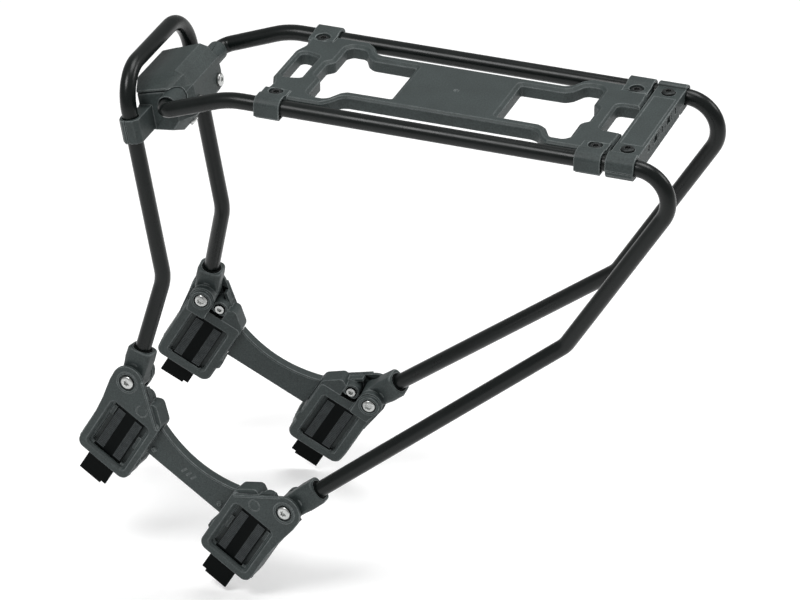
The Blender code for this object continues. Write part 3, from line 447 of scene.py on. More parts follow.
def drawn_tube(name, corners, radii):
    """A circle drawn along each straight run and spun round each bend, then given its wall."""
    deselect()
    here = corners[0]
    obj = ring_start(name, here, corners[1] - corners[0])
    edit(obj)
    for before, p, after, radius in zip(corners, corners[1:], corners[2:], radii):
        a = (before - p).normalized()
        b = (after - p).normalized()
        half = a.angle(b) / 2.0
        back = radius / math.tan(half)
        start = p + a * back
        centre = p + (a + b).normalized() * (radius / math.sin(half))
        bpy.ops.mesh.extrude_region_move(TRANSFORM_OT_translate={"value": (start - here) * MM})
        turn = math.pi - 2.0 * half
        axis = (start - centre).cross(p + b * back - centre).normalized()
        steps = max(6, int(math.degrees(turn) / BEND_STEP))
        bpy.ops.mesh.spin(steps=steps, angle=-turn, center=centre * MM, axis=axis)
        here = p + b * back
    bpy.ops.mesh.extrude_region_move(TRANSFORM_OT_translate={"value": (corners[-1] - here) * MM})
    bpy.ops.mesh.select_all(action="SELECT")
    bpy.ops.mesh.remove_doubles(threshold=0.000002)
    bpy.ops.mesh.normals_make_consistent(inside=False)
    leave_edit()
    first = obj.data.polygons[0]
    if first.normal.dot(first.center - corners[0] * MM) < 0.0:
        edit(obj)
        bpy.ops.mesh.flip_normals()
        leave_edit()
    apply_modifier(obj, "SOLIDIFY", "wall", thickness=TUBE_WALL * MM, offset=-1.0, use_rim=True)
    smooth(obj, 40.0)
    return obj


def side_tube_corners(side):
    low = Vector((REAR_PIVOT.x, side * REAR_PIVOT.y, REAR_PIVOT.z))
    strut = Vector((STRUT_BEND.x, side * STRUT_BEND.y, STRUT_BEND.z))
    foot = low + (strut - low).normalized() * TUBE_END_BACK
    return [
        Vector((STUB_AXIS.x, side * STUB_END_Y, STUB_AXIS.z)),
        Vector((STUB_AXIS.x, side * STUB_Y, STUB_AXIS.z)),
        Vector((FRONT_BEND_X, side * RAIL_Y, RAIL_Z)),
        Vector((REAR_BEND_X, side * RAIL_Y, RAIL_Z)),
        strut,
        foot,
    ]


def hoop_corners():
    found = []
    for side in (-1.0, 1.0):
        pivot = Vector((FRONT_PIVOT.x, side * FRONT_PIVOT.y, FRONT_PIVOT.z))
        low = Vector((HOOP_LOW.x, side * HOOP_Y, HOOP_LOW.z))
        top = Vector((HOOP_TOP.x, side * HOOP_Y, HOOP_TOP.z))
        foot = pivot + (low - pivot).normalized() * TUBE_END_BACK
        found += [foot, low, top] if side < 0 else [top, low, foot]
    return found


def make_tubes():
    for hand, side in HANDS:
        tube = drawn_tube(f"rail_and_strut_{hand}", side_tube_corners(side), SIDE_RADII)
        finish_piece(tube, "frame", "black_tube", PAINT, f"side_tube_{hand}")
    hoop = drawn_tube("hoop_tube", hoop_corners(), HOOP_RADII)
    finish_piece(hoop, "hoop", "black_tube", PAINT, "front_hoop")


# ---------------------------------------------------------------- flat outlines, stacked into pieces


def rounded(corners):
    """Outline from (x, y, radius) corners, each turned in an arc with a point about every 12 degrees."""
    points = []
    for i, (x, y, radius) in enumerate(corners):
        if radius <= 0.0:
            points.append((x, y))
            continue
        here = Vector((x, y))
        before = Vector(corners[i - 1][:2]) - here
        after = Vector(corners[(i + 1) % len(corners)][:2]) - here
        a, b = before.normalized(), after.normalized()
        half = a.angle(b) / 2.0
        back = min(radius / math.tan(half), 0.48 * before.length, 0.48 * after.length)
        centre = here + (a + b).normalized() * (back / math.cos(half))
        start = here + a * back - centre
        end = here + b * back - centre
        sign = math.copysign(1.0, start.x * end.y - start.y * end.x)
        turn = math.pi - 2.0 * half
        steps = max(1, round(math.degrees(turn) / 12.0))
        for k in range(steps + 1):
            spoke = Matrix.Rotation(sign * turn * k / steps, 2) @ start
            points.append((centre.x + spoke.x, centre.y + spoke.y))
    return points


def grown(points, by):
    """The outline moved outward by a distance."""
    area = sum(points[i - 1][0] * y - x * points[i - 1][1] for i, (x, y) in enumerate(points))
    sign = math.copysign(1.0, area)
    found = []
    for i, point in enumerate(points):
        a = (Vector(point) - Vector(points[i - 1])).normalized()
        b = (Vector(points[(i + 1) % len(points)]) - Vector(point)).normalized()
        first = Vector((a.y, -a.x)) * sign
        middle = (first + Vector((b.y, -b.x)) * sign).normalized()
        shift = middle * (by / max(0.4, middle.dot(first)))
        found.append((point[0] + shift.x, point[1] + shift.y))
    return found


def ring(radius, segments=48, centre=(0.0, 0.0)):
    turns = [2.0 * math.pi * k / segments for k in range(segments)]
    return [(centre[0] + radius * math.cos(t), centre[1] + radius * math.sin(t)) for t in turns]


def arc_points(radius, first, last, step=9.0):
    """Points of an arc round the origin, as sharp corners for rounded()."""
    count = round(abs(last - first) / step)
    turns = [math.radians(first + (last - first) * k / count) for k in range(count + 1)]
    return [(radius * math.cos(t), radius * math.sin(t), 0.0) for t in turns]


def rectangle(x, y, radius=0.0):
    return rounded([(x[0], y[0], radius), (x[1], y[0], radius), (x[1], y[1], radius), (x[0], y[1], radius)])


def stacked(name, sections):
    """A filled circle drawn out to the first outline, then extruded to each next (outline, height)."""
    deselect()
    outline, height = sections[0]
    bpy.ops.mesh.primitive_circle_add(vertices=len(outline), radius=MM, fill_type="NGON")
    obj = bpy.context.view_layer.objects.active
    obj.name = name
    for vertex, (x, y) in zip(obj.data.vertices, outline):
        vertex.co = Vector((x, y, height)) * MM
    edit(obj)
    for following, top in sections[1:]:
        bpy.ops.mesh.extrude_region_move(TRANSFORM_OT_translate={"value": (0.0, 0.0, (top - height) * MM)})
        leave_edit()
        for vertex in obj.data.vertices:
            if vertex.select:
                flat = vertex.co.xy / MM
                near = min(range(len(outline)), key=lambda i: (Vector(outline[i]) - flat).length_squared)
                vertex.co = Vector((*following[near], top)) * MM
        outline, height = following, top
        bpy.ops.object.mode_set(mode="EDIT")
    bpy.ops.mesh.select_all(action="SELECT")
    bpy.ops.mesh.normals_make_consistent(inside=False)
    leave_edit()
    return obj


def prism(name, outline, low, high):
    return stacked(name, [(outline, low), (outline, high)])


def box(name, x, y, z):
    return prism(name, rectangle(x, y), *z)


def disc(name, radius, z, centre=(0.0, 0.0), segments=48):
    return prism(name, ring(radius, segments, centre), *z)


def boolean(obj, tools, operation):
    for tool in tools:
        apply_modifier(obj, "BOOLEAN", operation.lower(), operation=operation, object=tool, solver="EXACT")
        bpy.data.objects.remove(tool, do_unlink=True)
    return obj


def unite(obj, *tools):
    return boolean(obj, tools, "UNION")


def cut(obj, *tools):
    return boolean(obj, tools, "DIFFERENCE")


def merge_faces(obj):
    """Drops the slivers and doubled points that a Boolean leaves, so that a bevel runs clean."""
    edit(obj)
    bpy.ops.mesh.remove_doubles(threshold=0.00003)
    bpy.ops.mesh.dissolve_limited(angle_limit=math.radians(0.5))
    bpy.ops.mesh.normals_make_consistent(inside=False)
    leave_edit()
    return obj


def set_in(obj, place):
    """Moves the mesh and leaves the object at the origin."""
    obj.data.transform(place)
    obj.data.update()
    return obj


def twin(obj, name, matrix):
    """Mirrored copy with its own mesh, faces outward."""
    pick(obj)
    bpy.ops.object.duplicate()
    copy = bpy.context.view_layer.objects.active
    copy.name = name
    set_in(copy, matrix)
    edit(copy)
    bpy.ops.mesh.flip_normals()
    leave_edit()
    return copy


def frame_at(origin, u, v, w):
    """Matrix of a piece's own frame: its origin in millimetres and its three directions."""
    return Matrix.Translation(origin * MM) @ Matrix((u, v, w)).transposed().to_4x4()


def left(point):
    return Vector((point.x, -point.y, point.z))


def link_frame():
    """Left link: origin on the front pivot, u to the rear pivot, v upward across the stay, w outward."""
    front, rear = left(FRONT_PIVOT), left(REAR_PIVOT)
    u = (rear - front).normalized()
    v = Vector((0.0, 1.0, 0.0)).cross(u).normalized()
    v = v if v.z > 0.0 else -v
    return frame_at(front, u, v, u.cross(v)), (rear - front).length


LINK, LINK_LEN = link_frame()
LINK_W = LINK.to_3x3() @ Vector((0.0, 0.0, 1.0))
LINK_MIRROR = LINK @ Matrix.Translation((LINK_LEN * MM, 0.0, 0.0)) @ FLIP_X @ LINK.inverted()
ALONG_X = Matrix(((0, 0, 1, 0), (1, 0, 0, 0), (0, 1, 0, 0), (0, 0, 0, 1)))


def place_piece(obj, node):
    """Last step of a made piece: even shading, then its body, finish and CAD node."""
    smooth(obj, 34.0)
    even_shading(obj)
    slot = SLOT_OF[node]
    return finish_piece(obj, BODY_OF[node], slot, FINISH[slot], node)


def place_four(piece, stem):
    """A front left clamp's piece in all four clamps."""
    rear = twin(piece, f"{stem}_rear_left_made", LINK_MIRROR)
    for end, obj in (("front", piece), ("rear", rear)):
        other = twin(obj, f"{stem}_{end}_right_made", FLIP_Y)
        obj.name = f"{stem}_{end}_left_made"
        place_piece(obj, f"{stem}_{end}_left")
        place_piece(other, f"{stem}_{end}_right")


def place_pair(piece, stem):
    other = twin(piece, f"{stem}_right_made", FLIP_Y)
    piece.name = f"{stem}_left_made"
    place_piece(piece, f"{stem}_left")
    place_piece(other, f"{stem}_right")


# ---------------------------------------------------------------- deck


def window_cutter(corners, rim=2.9, drop=2.0, low=-11.4):
    """Cutter of a deck opening with its wide slanted rim."""
    outline = rounded(corners)
    return stacked(
        "opening",
        [(outline, low), (outline, -drop), (grown(outline, rim), 0.0), (grown(outline, rim + 0.6), 0.5)],
    )


def deck_outline():
    upper = [
        (-133.5, 22.0, 4.0),
        (-129.5, 33.0, 5.0),
        (-131.0, 52.6, 0.0),
        (-86.0, 52.6, 3.0),
        (-80.0, 47.0, 6.0),
        (-75.0, 38.0, 6.0),
        (-70.0, DECK_HALF_Y, 6.0),
    ]
    rear = [(-x, y, r) for x, y, r in upper[:1:-1]] + [(132.4, 34.0, 4.0)]
    upper = upper + rear
    lower = [(x, -y, r) for x, y, r in upper]
    return rounded(lower + upper[::-1])


def big_window(side):
    shape = [
        (40.2, 26.6, 1.5),
        (74.0, 27.0, 7.0),
        (79.0, 31.0, 6.0),
        (84.5, 41.0, 5.0),
        (87.5, 42.5, 3.0),
        (95.5, 42.5, 3.5),
        (99.3, 38.0, 4.0),
        (99.3, 15.0, 5.0),
        (104.3, 10.0, 3.0),
    ]
    whole = shape + [(x, -y, r) for x, y, r in shape[::-1]]
    return [(side * x, y, r) for x, y, r in whole]


def rail_bore(steps=16):
    """Upper half of the hole round a rail, in (y, z), from its outer side inward."""
    turns = [math.pi * k / steps for k in range(steps + 1)]
    return [(RAIL_Y + BORE_R * math.cos(t), RAIL_Z + BORE_R * math.sin(t)) for t in turns]


def hook_profile(sign):
    """Section in (y, z) of a corner pad that hooks over a rail."""
    over = rounded(
        [
            (41.0, -0.4, 0.0),
            (43.5, 1.0, 1.5),
            (52.0, 1.0, 3.0),
            (55.5, 2.4, 3.0),
            (63.6, 2.4, 4.0),
            (CLIP_OUT_Y, -1.2, 5.0),
            (CLIP_OUT_Y, CLIP_LOW_Z, 1.0),
            (RAIL_Y + BORE_R, CLIP_LOW_Z, 0.0),
        ]
    )
    return [(sign * y, z) for y, z in over + rail_bore() + [(RAIL_Y - BORE_R, -DECK_T), (41.0, -DECK_T)]]


def make_deck():
    outline = deck_outline()
    chamfered = (grown(outline, -PLATE_CHAMFER), 0.0)
    plate = stacked("deck_made", [(outline, -DECK_T), (outline, -PLATE_CHAMFER), chamfered])
    corners = [(sx, sy) for sx in (-1.0, 1.0) for sy in (-1.0, 1.0)]
    for sx, sy in corners:
        pad = prism("pad", hook_profile(sy), sx * SCREW_X - CLIP_LEN / 2.0, sx * SCREW_X + CLIP_LEN / 2.0)
        unite(plate, set_in(pad, ALONG_X))
    cut(plate, window_cutter(big_window(-1.0)), window_cutter(big_window(1.0)))
    slot = [(-128.0, -22.0, 4.0), (-113.6, -18.0, 3.0), (-113.6, 18.0, 3.0), (-128.0, 22.0, 4.0)]
    notch = [(116.0, -20.5, 4.0), (140.0, -21.5, 0.0), (140.0, 21.5, 0.0), (116.0, 20.5, 4.0)]
    cut(plate, window_cutter(slot, 2.0, 1.8), window_cutter(notch, 2.0, 1.8))
    for x in ((-35.5, -1.2), (1.2, 35.5)):
        for y in ((-33.0, -1.2), (1.2, 33.0)):
            cut(plate, prism("pocket", rectangle(x, y, 3.0), -DECK_T - 1.0, POCKET_ROOF))
    for sx, sy in corners:
        centre = (sx * SCREW_X, sy * SCREW_Y)
        cut(plate, disc("bore", SCREW_BORE_R, (-DECK_T - 1.0, 4.0), centre))
        cut(plate, disc("seat", SCREW_SEAT_R, (-2.4, 4.0), centre))
    cut(plate, disc("dimple", 1.6, (-0.7, 1.0), segments=24))
    merge_faces(plate)
    soften(plate, 0.45, 3)
    place_piece(plate, "deck_plate")


def bracket_outline():
    """Section in (y, z) of the light bracket, across both rails."""
    over = rounded(
        [
            (54.0, BRACKET_TOP, 6.0),
            (61.5, 3.2, 6.0),
            (67.0, 0.0, 5.0),
            (CLIP_OUT_Y, BRACKET_CLIP_Z, 0.5),
            (RAIL_Y + BORE_R, BRACKET_CLIP_Z, 0.0),
        ]
    )
    under = [(RAIL_Y - BORE_R, BRACKET_CLIP_Z), (43.0, BRACKET_CLIP_Z), (41.0, BRACKET_BOTTOM)]
    half = over + rail_bore() + under
    return half + [(-y, z) for y, z in half[::-1]]


def make_light_bracket():
    body = set_in(prism("light_bracket_made", bracket_outline(), BRACKET_X0, BRACKET_X1), ALONG_X)
    step_x = (BRACKET_X0 - 1.0, BRACKET_X1 + 1.0)
    cut(body, box("step", step_x, (-38.6, 38.6), (BRACKET_TOP - 0.55, BRACKET_TOP + 2.0)))
    merge_faces(body)
    soften(body, 0.45, 3)
    hollow_x = (BRACKET_X0 + BRACKET_WALL, BRACKET_X1 - BRACKET_WALL)
    hollow_z = (BRACKET_BOTTOM - 1.0, BRACKET_TOP - 2.6)
    cut(body, box("hollow", hollow_x, (-BRACKET_HALF_Y, BRACKET_HALF_Y), hollow_z))
    around = ((0.0, 7.6), (-6.6, 1.5), (6.6, 1.5))
    slits = [(y + shift, width) for y in (-15.0, 15.0) for shift, width in around]
    pocket_x = (BRACKET_X1 - POCKET_DEEP, BRACKET_X1 + 2.0)
    for y, width in slits + [(-31.0, 3.0), (0.0, 3.0), (31.0, 3.0)]:
        cut(body, box("pocket", pocket_x, (y - width / 2.0, y + width / 2.0), POCKET_Z))
    mid = (BRACKET_X0 + BRACKET_X1) / 2.0
    for side in (-1.0, 1.0):
        screw = (mid, side * BRACKET_SCREW_Y)
        cut(body, disc("hole", 1.9, (1.6, 8.0), (mid, side * LAMP_HOLE_Y), 24))
        cut(body, disc("bore", SCREW_BORE_R, (-9.0, 6.0), screw))
        cut(body, disc("seat", SCREW_SEAT_R, (0.2, 6.0), screw))
    place_piece(body, "light_bracket")


# ---------------------------------------------------------------- clamps


def plate_outline():
    """Outer face of a clamp: round eye on the bolt, slanted edge, square frame below."""
    eye = arc_points(13.1, 48.0, 186.0)
    side = [(-12.7, -8.0, 8.0), (-9.6, -26.0, 30.0), (-7.9, -44.0, 30.0), (BOX_U[0] - 0.6, -62.0, 10.0)]
    frame = [(BOX_U[0], BOX_V[0], 6.5), (BOX_U[1], BOX_V[0], 7.0), (BOX_U[1], -17.6, 2.5)]
    return rounded(frame + eye + side)


def frame_outline():
    corners = [
        (BOX_U[0] + 0.2, BOX_V[0] + 0.2, 6.5),
        (BOX_U[1] - 0.2, BOX_V[0] + 0.2, 7.0),
        (BOX_U[1] - 0.2, -58.0, 1.5),
        (BOX_U[1] + 1.8, -56.0, 1.8),
        (BOX_U[1] + 1.8, -50.0, 1.8),
        (BOX_U[1] - 0.2, -48.0, 1.5),
        (BOX_U[1] - 0.2, BOX_V[1], 4.0),
        (BOX_U[0] - 1.0, BOX_V[1], 2.0),
        (BOX_U[0] - 1.0, -62.0, 10.0),
    ]
    return rounded(corners)


def window_frame():
    """Cutter of a clamp's window: flared on both faces, with a step inside the outer one."""
    window = rectangle(WINDOW_U, WINDOW_V, 1.2)
    return stacked(
        "window",
        [
            (grown(window, 2.3), BOX_W[0] - 1.0),
            (window, BOX_W[0] + 1.3),
            (window, 7.4),
            (grown(window, 1.3), 8.2),
            (grown(window, 1.5), 10.2),
            (grown(window, 3.3), 12.1),
            (grown(window, 3.6), 13.2),
        ],
    )


def clamp_body():
    outline = plate_outline()
    plate = prism("clamp_made", outline, CHEEK_W, PLATE_W)
    frame_box = frame_outline()
    eased = (grown(frame_box, -1.0), BOX_W[0])
    body = stacked("frame_box", [eased, (frame_box, BOX_W[0] + 1.0), (frame_box, PLATE_W - 1.2)])
    neck = (BOX_U[0] + 1.4, 9.6)
    narrow, wide = rectangle(neck, (-16.2, -12.6)), rectangle(neck, (-21.4, -12.6))
    saddle = stacked("saddle", [(narrow, INNER_CHEEK_W + 0.8), (wide, BOX_W[0] - 0.4), (wide, 2.0)])
    cheek_foot = [(-5.6, -16.4, 2.0), (9.2, -16.4, 2.0), (9.9, -4.0, 3.0)]
    cheek_line = rounded(cheek_foot + arc_points(9.9, 20.0, 190.0, 10.0))
    cheek = prism("cheek", cheek_line, INNER_CHEEK_W, -CHEEK_W)
    barrel = disc("barrel", BARREL_R, (BARREL_W, CHEEK_W + 1.3), (WORM_U, WORM_V))
    slope = prism("slope", rectangle((-0.4, 15.0), (-1.4, 1.4)), 3.5, CHEEK_W + 0.6)
    set_in(slope, moved(13.6, 3.4, 0.0) @ turned(-42.0))
    shoulder_foot = [(22.0, -20.4, 0.0), (40.0, -20.6, 0.0)]
    shoulder_hump = [(40.2, -12.8, 5.5), (27.5, -1.0, 4.5), (22.0, -4.6, 1.0)]
    shoulder = prism("shoulder", rounded(shoulder_foot + shoulder_hump), BOX_W[0] + 0.3, CHEEK_W + 0.8)
    lip = prism("lip", [(-12.1, -4.5), (-8.8, -31.5), (-6.2, -31.5), (-9.9, -4.5)], -2.7, CHEEK_W + 1.0)
    boss = disc("boss", 8.7, (PLATE_W - 1.0, PLATE_W + 0.8))
    nut_boss = disc("nut_boss", 8.2, (INNER_CHEEK_W - 3.4, INNER_CHEEK_W + 1.0))
    ridge_line = rounded([(8.7, 8.2, 0.6), (37.6, -17.9, 0.6), (38.9, -16.4, 0.6), (9.9, 9.6, 0.6)])
    ridge = prism("ridge", ridge_line, PLATE_W - 0.8, PLATE_W + 1.1)
    return unite(plate, body, saddle, cheek, barrel, slope, shoulder, lip, boss, nut_boss, ridge)


def clamp_housing():
    """Clamp body in link coordinates, with its window, band channel, bores and the slot of the bar."""
    housing = cut(clamp_body(), window_frame())
    half = STRAP_W / 2.0 + 0.7
    guides = [(WINDOW_U[0] - 1.0, WORM_U - half + 2.6), (WORM_U + half - 2.6, WINDOW_U[1] + 1.0)]
    for span in guides:
        unite(housing, box("guide", span, (WINDOW_V[0] - 0.7, WINDOW_V[1] + 0.7), (0.4, 4.6)))
    left_tab = box("tab", (WINDOW_U[0] - 0.6, WINDOW_U[0] + 3.0), (-36.6, -27.4), (4.2, 6.6))
    right_tab = box("tab", (WINDOW_U[1] - 2.8, WINDOW_U[1] + 0.6), (-49.0, -37.0), (4.2, 6.6))
    unite(housing, left_tab, right_tab)
    span = (WORM_U - half, WORM_U + half)
    deep = STRAP_T / 2.0 + STRAP_ROOM
    outer = (STRAP_OUT_W - deep, STRAP_OUT_W + deep)
    inner = (STRAP_IN_W - deep, STRAP_IN_W + deep)
    cut(
        housing,
        box("band_room", span, (WINDOW_V[1] - 1.0, STRAP_TOP_V + 0.6), (inner[0] - 0.1, outer[1] + 0.1)),
        box("tail_slot", span, (BOX_V[0] - 3.0, WINDOW_V[0] + 1.0), outer),
        box("anchor_slot", span, (WINDOW_V[0] - 5.4, WINDOW_V[0] + 1.0), inner),
        disc("worm_bore", WORM_R + 0.5, (-12.0, 8.6), (WORM_U, WORM_V), 32),
        disc("bolt_bore", BOLT_R + 0.5, (-30.0, 30.0), segments=32),
        disc("head_seat", 6.7, (PLATE_W - 1.4, PLATE_W + 4.0)),
        disc("nut_seat", 5.9, (INNER_CHEEK_W - 6.0, INNER_CHEEK_W - 0.4)),
        box("bar_slot", (WINDOW_U[1] + 1.6, BOX_U[1] + 4.0), (-39.2, -19.7), (0.9, 6.1)),
        disc("mark", 4.6, (PLATE_W - 0.12, PLATE_W + 1.0), (21.5, -12.5), 40),
    )
    unite(housing, disc("mark_face", 4.3, (PLATE_W - 0.8, PLATE_W - 0.02), (21.5, -12.5), 40))
    merge_faces(housing)
    soften(housing, 0.5, 2)
    return set_in(housing, LINK)


def small_rivet():
    """Head of the pin that holds the bar's tenon, with a cross recess."""
    rivet = stacked("rivet", [(ring(2.3, 24), 6.0), (ring(2.3, 24), 7.3), (ring(1.5, 24), 7.9)])
    long, thin, deep = (-1.2, 1.2), (-0.3, 0.3), (7.3, 9.0)
    return cut(rivet, box("slot", long, thin, deep), box("slot", thin, long, deep))


def link_bar():
    """Arched bar of the left link, with a thin flange along its top and three shallow strokes."""
    lower = -43.2
    u0, u1 = BOX_U[1] + 0.3, LINK_LEN - BOX_U[1] - 0.3

    def top_line(count=28):
        for k in range(count + 1):
            t = k / count
            yield u0 + (u1 - u0) * t, -22.4 + 7.0 * (2.0 * t - 1.0) ** 2

    arch = list(top_line())[::-1]
    bar = prism("link_bar_made", [(u0, lower), (u1, lower)] + arch, 0.6, 6.4)
    edge = [(u, v - 1.9) for u, v in arch[::-1]]
    flange = prism("flange", arch + edge, -0.2, 7.2)
    unite(bar, flange)
    for a, b in ((u0 - 4.6, u0 + 3.0), (u1 - 3.0, u1 + 4.6)):
        unite(bar, box("tenon", (a, b), (-38.8, -20.1), (1.2, 5.8)))
    middle = (u0 + u1) / 2.0
    for k in (-1.0, 0.0, 1.0):
        stroke = prism("stroke", rectangle((-0.45, 0.45), (-2.6, 2.6), 0.4), 6.1, 7.0)
        cut(bar, set_in(stroke, moved(middle + 4.6 * k, -33.5, 0.0) @ turned(-24.0)))
    merge_faces(bar)
    soften(bar, 0.35, 2)
    for u in (u0 + 3.8, u1 - 3.8):
        unite(bar, set_in(small_rivet(), moved(u, -36.5, 0.0)))
    return set_in(bar, LINK)


def knuckle(stem, pivot, toward, reach, half_t):
    """Tube end of the left side: flat eye on the pivot and a rounded socket round the tube."""
    axis = (toward - pivot).normalized()
    across = LINK_W.cross(axis).normalized()
    deep = axis.cross(across).normalized()
    place = frame_at(pivot, across, deep, axis)
    flat = LINK_W.cross(across).normalized()
    eye_place = frame_at(pivot, across, flat, LINK_W)
    eye = disc(f"{stem}_eye", EYE_R, (-half_t, half_t))
    soften(eye, 0.8, 3)
    set_in(eye, eye_place)
    neck = [(9.2, 6.6, 2.4, 0.0), (9.4, 7.0, 2.4, 10.5), (9.9, 8.7, 4.0, 16.0)]
    mouth = [(9.8, 9.0, 5.0, reach - 1.2), (9.3, 8.5, 4.6, reach)]
    arm = stacked("arm", [(rectangle((-a, a), (-b, b), r), h) for a, b, r, h in neck + mouth])
    soften(arm, 0.7, 3)
    cut(arm, disc("socket", TUBE_R + 1.6, (12.0, reach + 4.0)))
    unite(eye, set_in(arm, place))
    cut(eye, set_in(disc("pin_bore", BOLT_R + PIN_GAP, (-12.0, 12.0)), eye_place))
    return merge_faces(eye)


def lobed_socket(radius, lobe=0.16, count=48):
    """Outline of a key socket with six rounded lobes."""
    turns = [2.0 * math.pi * k / count for k in range(count)]
    reaches = [radius * (1.0 + lobe * math.cos(6.0 * t)) for t in turns]
    return [(r * math.cos(t), r * math.sin(t)) for r, t in zip(reaches, turns)]


def cap_screw(head_r, head_h, shank_r, shank_l, hex_r):
    """Domed screw with a socket, head up, its seat at the origin."""
    dome = [(1.0, 0.0), (1.0, 0.55), (0.95, 0.75), (0.82, 0.92), (0.6, 1.0)]
    screw = stacked("screw", [(ring(wide * head_r, 40), high * head_h) for wide, high in dome])
    cut(screw, prism("socket", lobed_socket(hex_r), 0.3 * head_h, head_h + 1.0))
    unite(screw, disc("shank", shank_r, (-shank_l, 0.2), segments=24))
    merge_faces(screw)
    soften(screw, 0.12, 2)
    return screw


def band_line(offset):
    """Side view of the band in (v, w): tail, outer run, turn over the worm, inner run."""
    outer, inner = STRAP_OUT_W + offset, STRAP_IN_W - offset
    top = STRAP_TOP_V - STRAP_T / 2.0 - 0.4 + offset
    r = 2.2 + offset
    turns = [math.pi / 2.0 * k / 8.0 for k in range(9)]
    over = [(top - r + r * math.sin(t), outer - r + r * math.cos(t)) for t in turns]
    under = [(top - r + r * math.cos(t), inner + r - r * math.sin(t)) for t in turns]
    return [(STRAP_END_V, outer)] + over + under + [(WINDOW_V[0] - 0.6, inner)]


def ribs(name, w, side, first, last):
    """Row of fine ribs across one edge of the band, one rib modelled and arrayed."""
    rib = prism(name, rectangle((-3.4, 3.4), (-0.42, 0.42), 0.2), 0.0, 0.6)
    lift = moved(WORM_U + side * 8.0, first, w)
    set_in(rib, lift if w > 0.0 else lift @ turned(180.0, "Y"))
    count = int((last - first) / RIB_PITCH)
    apply_modifier(
        rib,
        "ARRAY",
        "row",
        count=count,
        use_relative_offset=False,
        use_constant_offset=True,
        constant_offset_displace=(0.0, RIB_PITCH * MM, 0.0),
    )
    return rib


def band():
    half = STRAP_T / 2.0
    outline = band_line(half) + band_line(-half)[::-1]
    strip = prism("band_made", outline, WORM_U - STRAP_W / 2.0, WORM_U + STRAP_W / 2.0)
    set_in(strip, ALONG_X)
    corner_u = (WORM_U + STRAP_W / 2.0 - 4.0, WORM_U + STRAP_W)
    cut(strip, box("step", corner_u, (STRAP_END_V - 1.0, STRAP_END_V + 2.2), (0.0, 12.0)))
    merge_faces(strip)
    soften(strip, 0.25, 2)
    span = (WINDOW_V[0] + 1.5, WINDOW_V[1] - 1.0)
    faces = (STRAP_OUT_W + half - 0.05, STRAP_IN_W - half + 0.05)
    rows = [ribs("rib_row", w, side, *span) for side in (-1.0, 1.0) for w in faces]
    strip.data.materials.append(BAND)
    pick(strip)
    for row in rows:
        # The ribs get the lighter rib colour, a painted highlight.
        row.data.materials.append(RIB)
        row.select_set(True)
    bpy.ops.object.join()
    return set_in(strip, LINK)


def worm_screw():
    """Worm of a clamp: round head with a key socket facing inward, ribs along the shank."""
    head, core, rib = ring(3.6, 32), ring(3.2, 32), ring(WORM_R, 32)
    sections = [(head, BARREL_W - 0.8), (head, BARREL_W + 1.2), (core, BARREL_W + 1.6)]
    for w in (-0.6, 1.8, 4.2):
        sections += [(core, w), (rib, w + 0.9), (rib, w + 1.2), (core, w + 2.0)]
    screw = stacked("worm", sections + [(core, 8.2)])
    cut(screw, prism("key", ring(2.1, 6), BARREL_W - 2.0, BARREL_W + 1.0))
    soften(screw, 0.15, 2)
    return set_in(screw, LINK @ moved(WORM_U, WORM_V, 0.0))


def make_clamps():
    place_four(clamp_housing(), "clamp_housing")
    place_four(band(), "strap")
    seat_w = PLATE_W - HEAD_SINK
    bolt = cap_screw(5.2, 2.6, BOLT_R, seat_w - (INNER_CHEEK_W - 2.6), 2.2)
    place_four(set_in(bolt, LINK @ moved(0.0, 0.0, seat_w)), "pivot_bolt")
    nut = cap_screw(5.2, 3.2, 4.6, 0.3, 2.5)
    facing_in = moved(0.0, 0.0, INNER_CHEEK_W - NUT_SINK) @ turned(180.0, "X")
    place_four(set_in(nut, LINK @ facing_in), "pivot_nut")
    place_four(worm_screw(), "tension_screw")
    place_pair(link_bar(), "link_bar")
    low = Vector((HOOP_LOW.x, -HOOP_Y, HOOP_LOW.z))
    place_pair(knuckle("front_knuckle", left(FRONT_PIVOT), low, 24.5, 9.0), "front_knuckle")
    place_pair(knuckle("rear_knuckle", left(REAR_PIVOT), left(STRUT_BEND), 28.0, 8.5), "rear_knuckle")


# ---------------------------------------------------------------- screws of the deck


def make_deck_screws():
    mid = (BRACKET_X0 + BRACKET_X1) / 2.0
    seats = []
    for end, x in zip(ENDS, (-SCREW_X, SCREW_X)):
        for hand, side in HANDS:
            seats.append((f"deck_screw_{end}_{hand}", x, side * SCREW_Y, -2.2, 11.4))
    for hand, side in HANDS:
        seats.append((f"bracket_screw_{hand}", mid, side * BRACKET_SCREW_Y, 0.5, 13.6))
    for node, x, y, z, length in seats:
        screw = cap_screw(4.9, 2.6, 2.5, length, 2.3)
        screw.name = f"{node}_made"
        place_piece(set_in(screw, moved(x, y, z)), node)


# ---------------------------------------------------------------- moulded pieces worked from the CAD shapes


def worked(node, width):
    piece = copy_of_node(node, f"{node}_moulded")
    soften(piece, width)
    place_piece(piece, node)


def make_mouldings():
    """Rounds the edges of the smaller pieces, by a width that goes with how the node's name starts."""
    widths = {
        "bridge_block": 0.7,
        "bridge_hood": 0.5,
        "deck_clip": 0.4,
        "bracket_clip": 0.4,
        "leg_clip": 0.6,
        "bridge_screw": 0.15,
        "leg_screw": 0.15,
        "front_sleeve": 0.2,
        "rear_sleeve": 0.2,
    }
    for node in sorted(NODES):
        for start, width in widths.items():
            if node.startswith(start):
                worked(node, width)
                break


def dress_rest():
    """CAD nodes that show as they are get their finish."""
    for node, obj in NODES.items():
        if not obj.hide_render:
            obj.data.materials.clear()
            obj.data.materials.append(FINISH[SLOT_OF[node]])


make_tubes()
make_deck()
make_light_bracket()
make_clamps()
make_deck_screws()
make_mouldings()
dress_rest()


# ---------------------------------------------------------------- studio


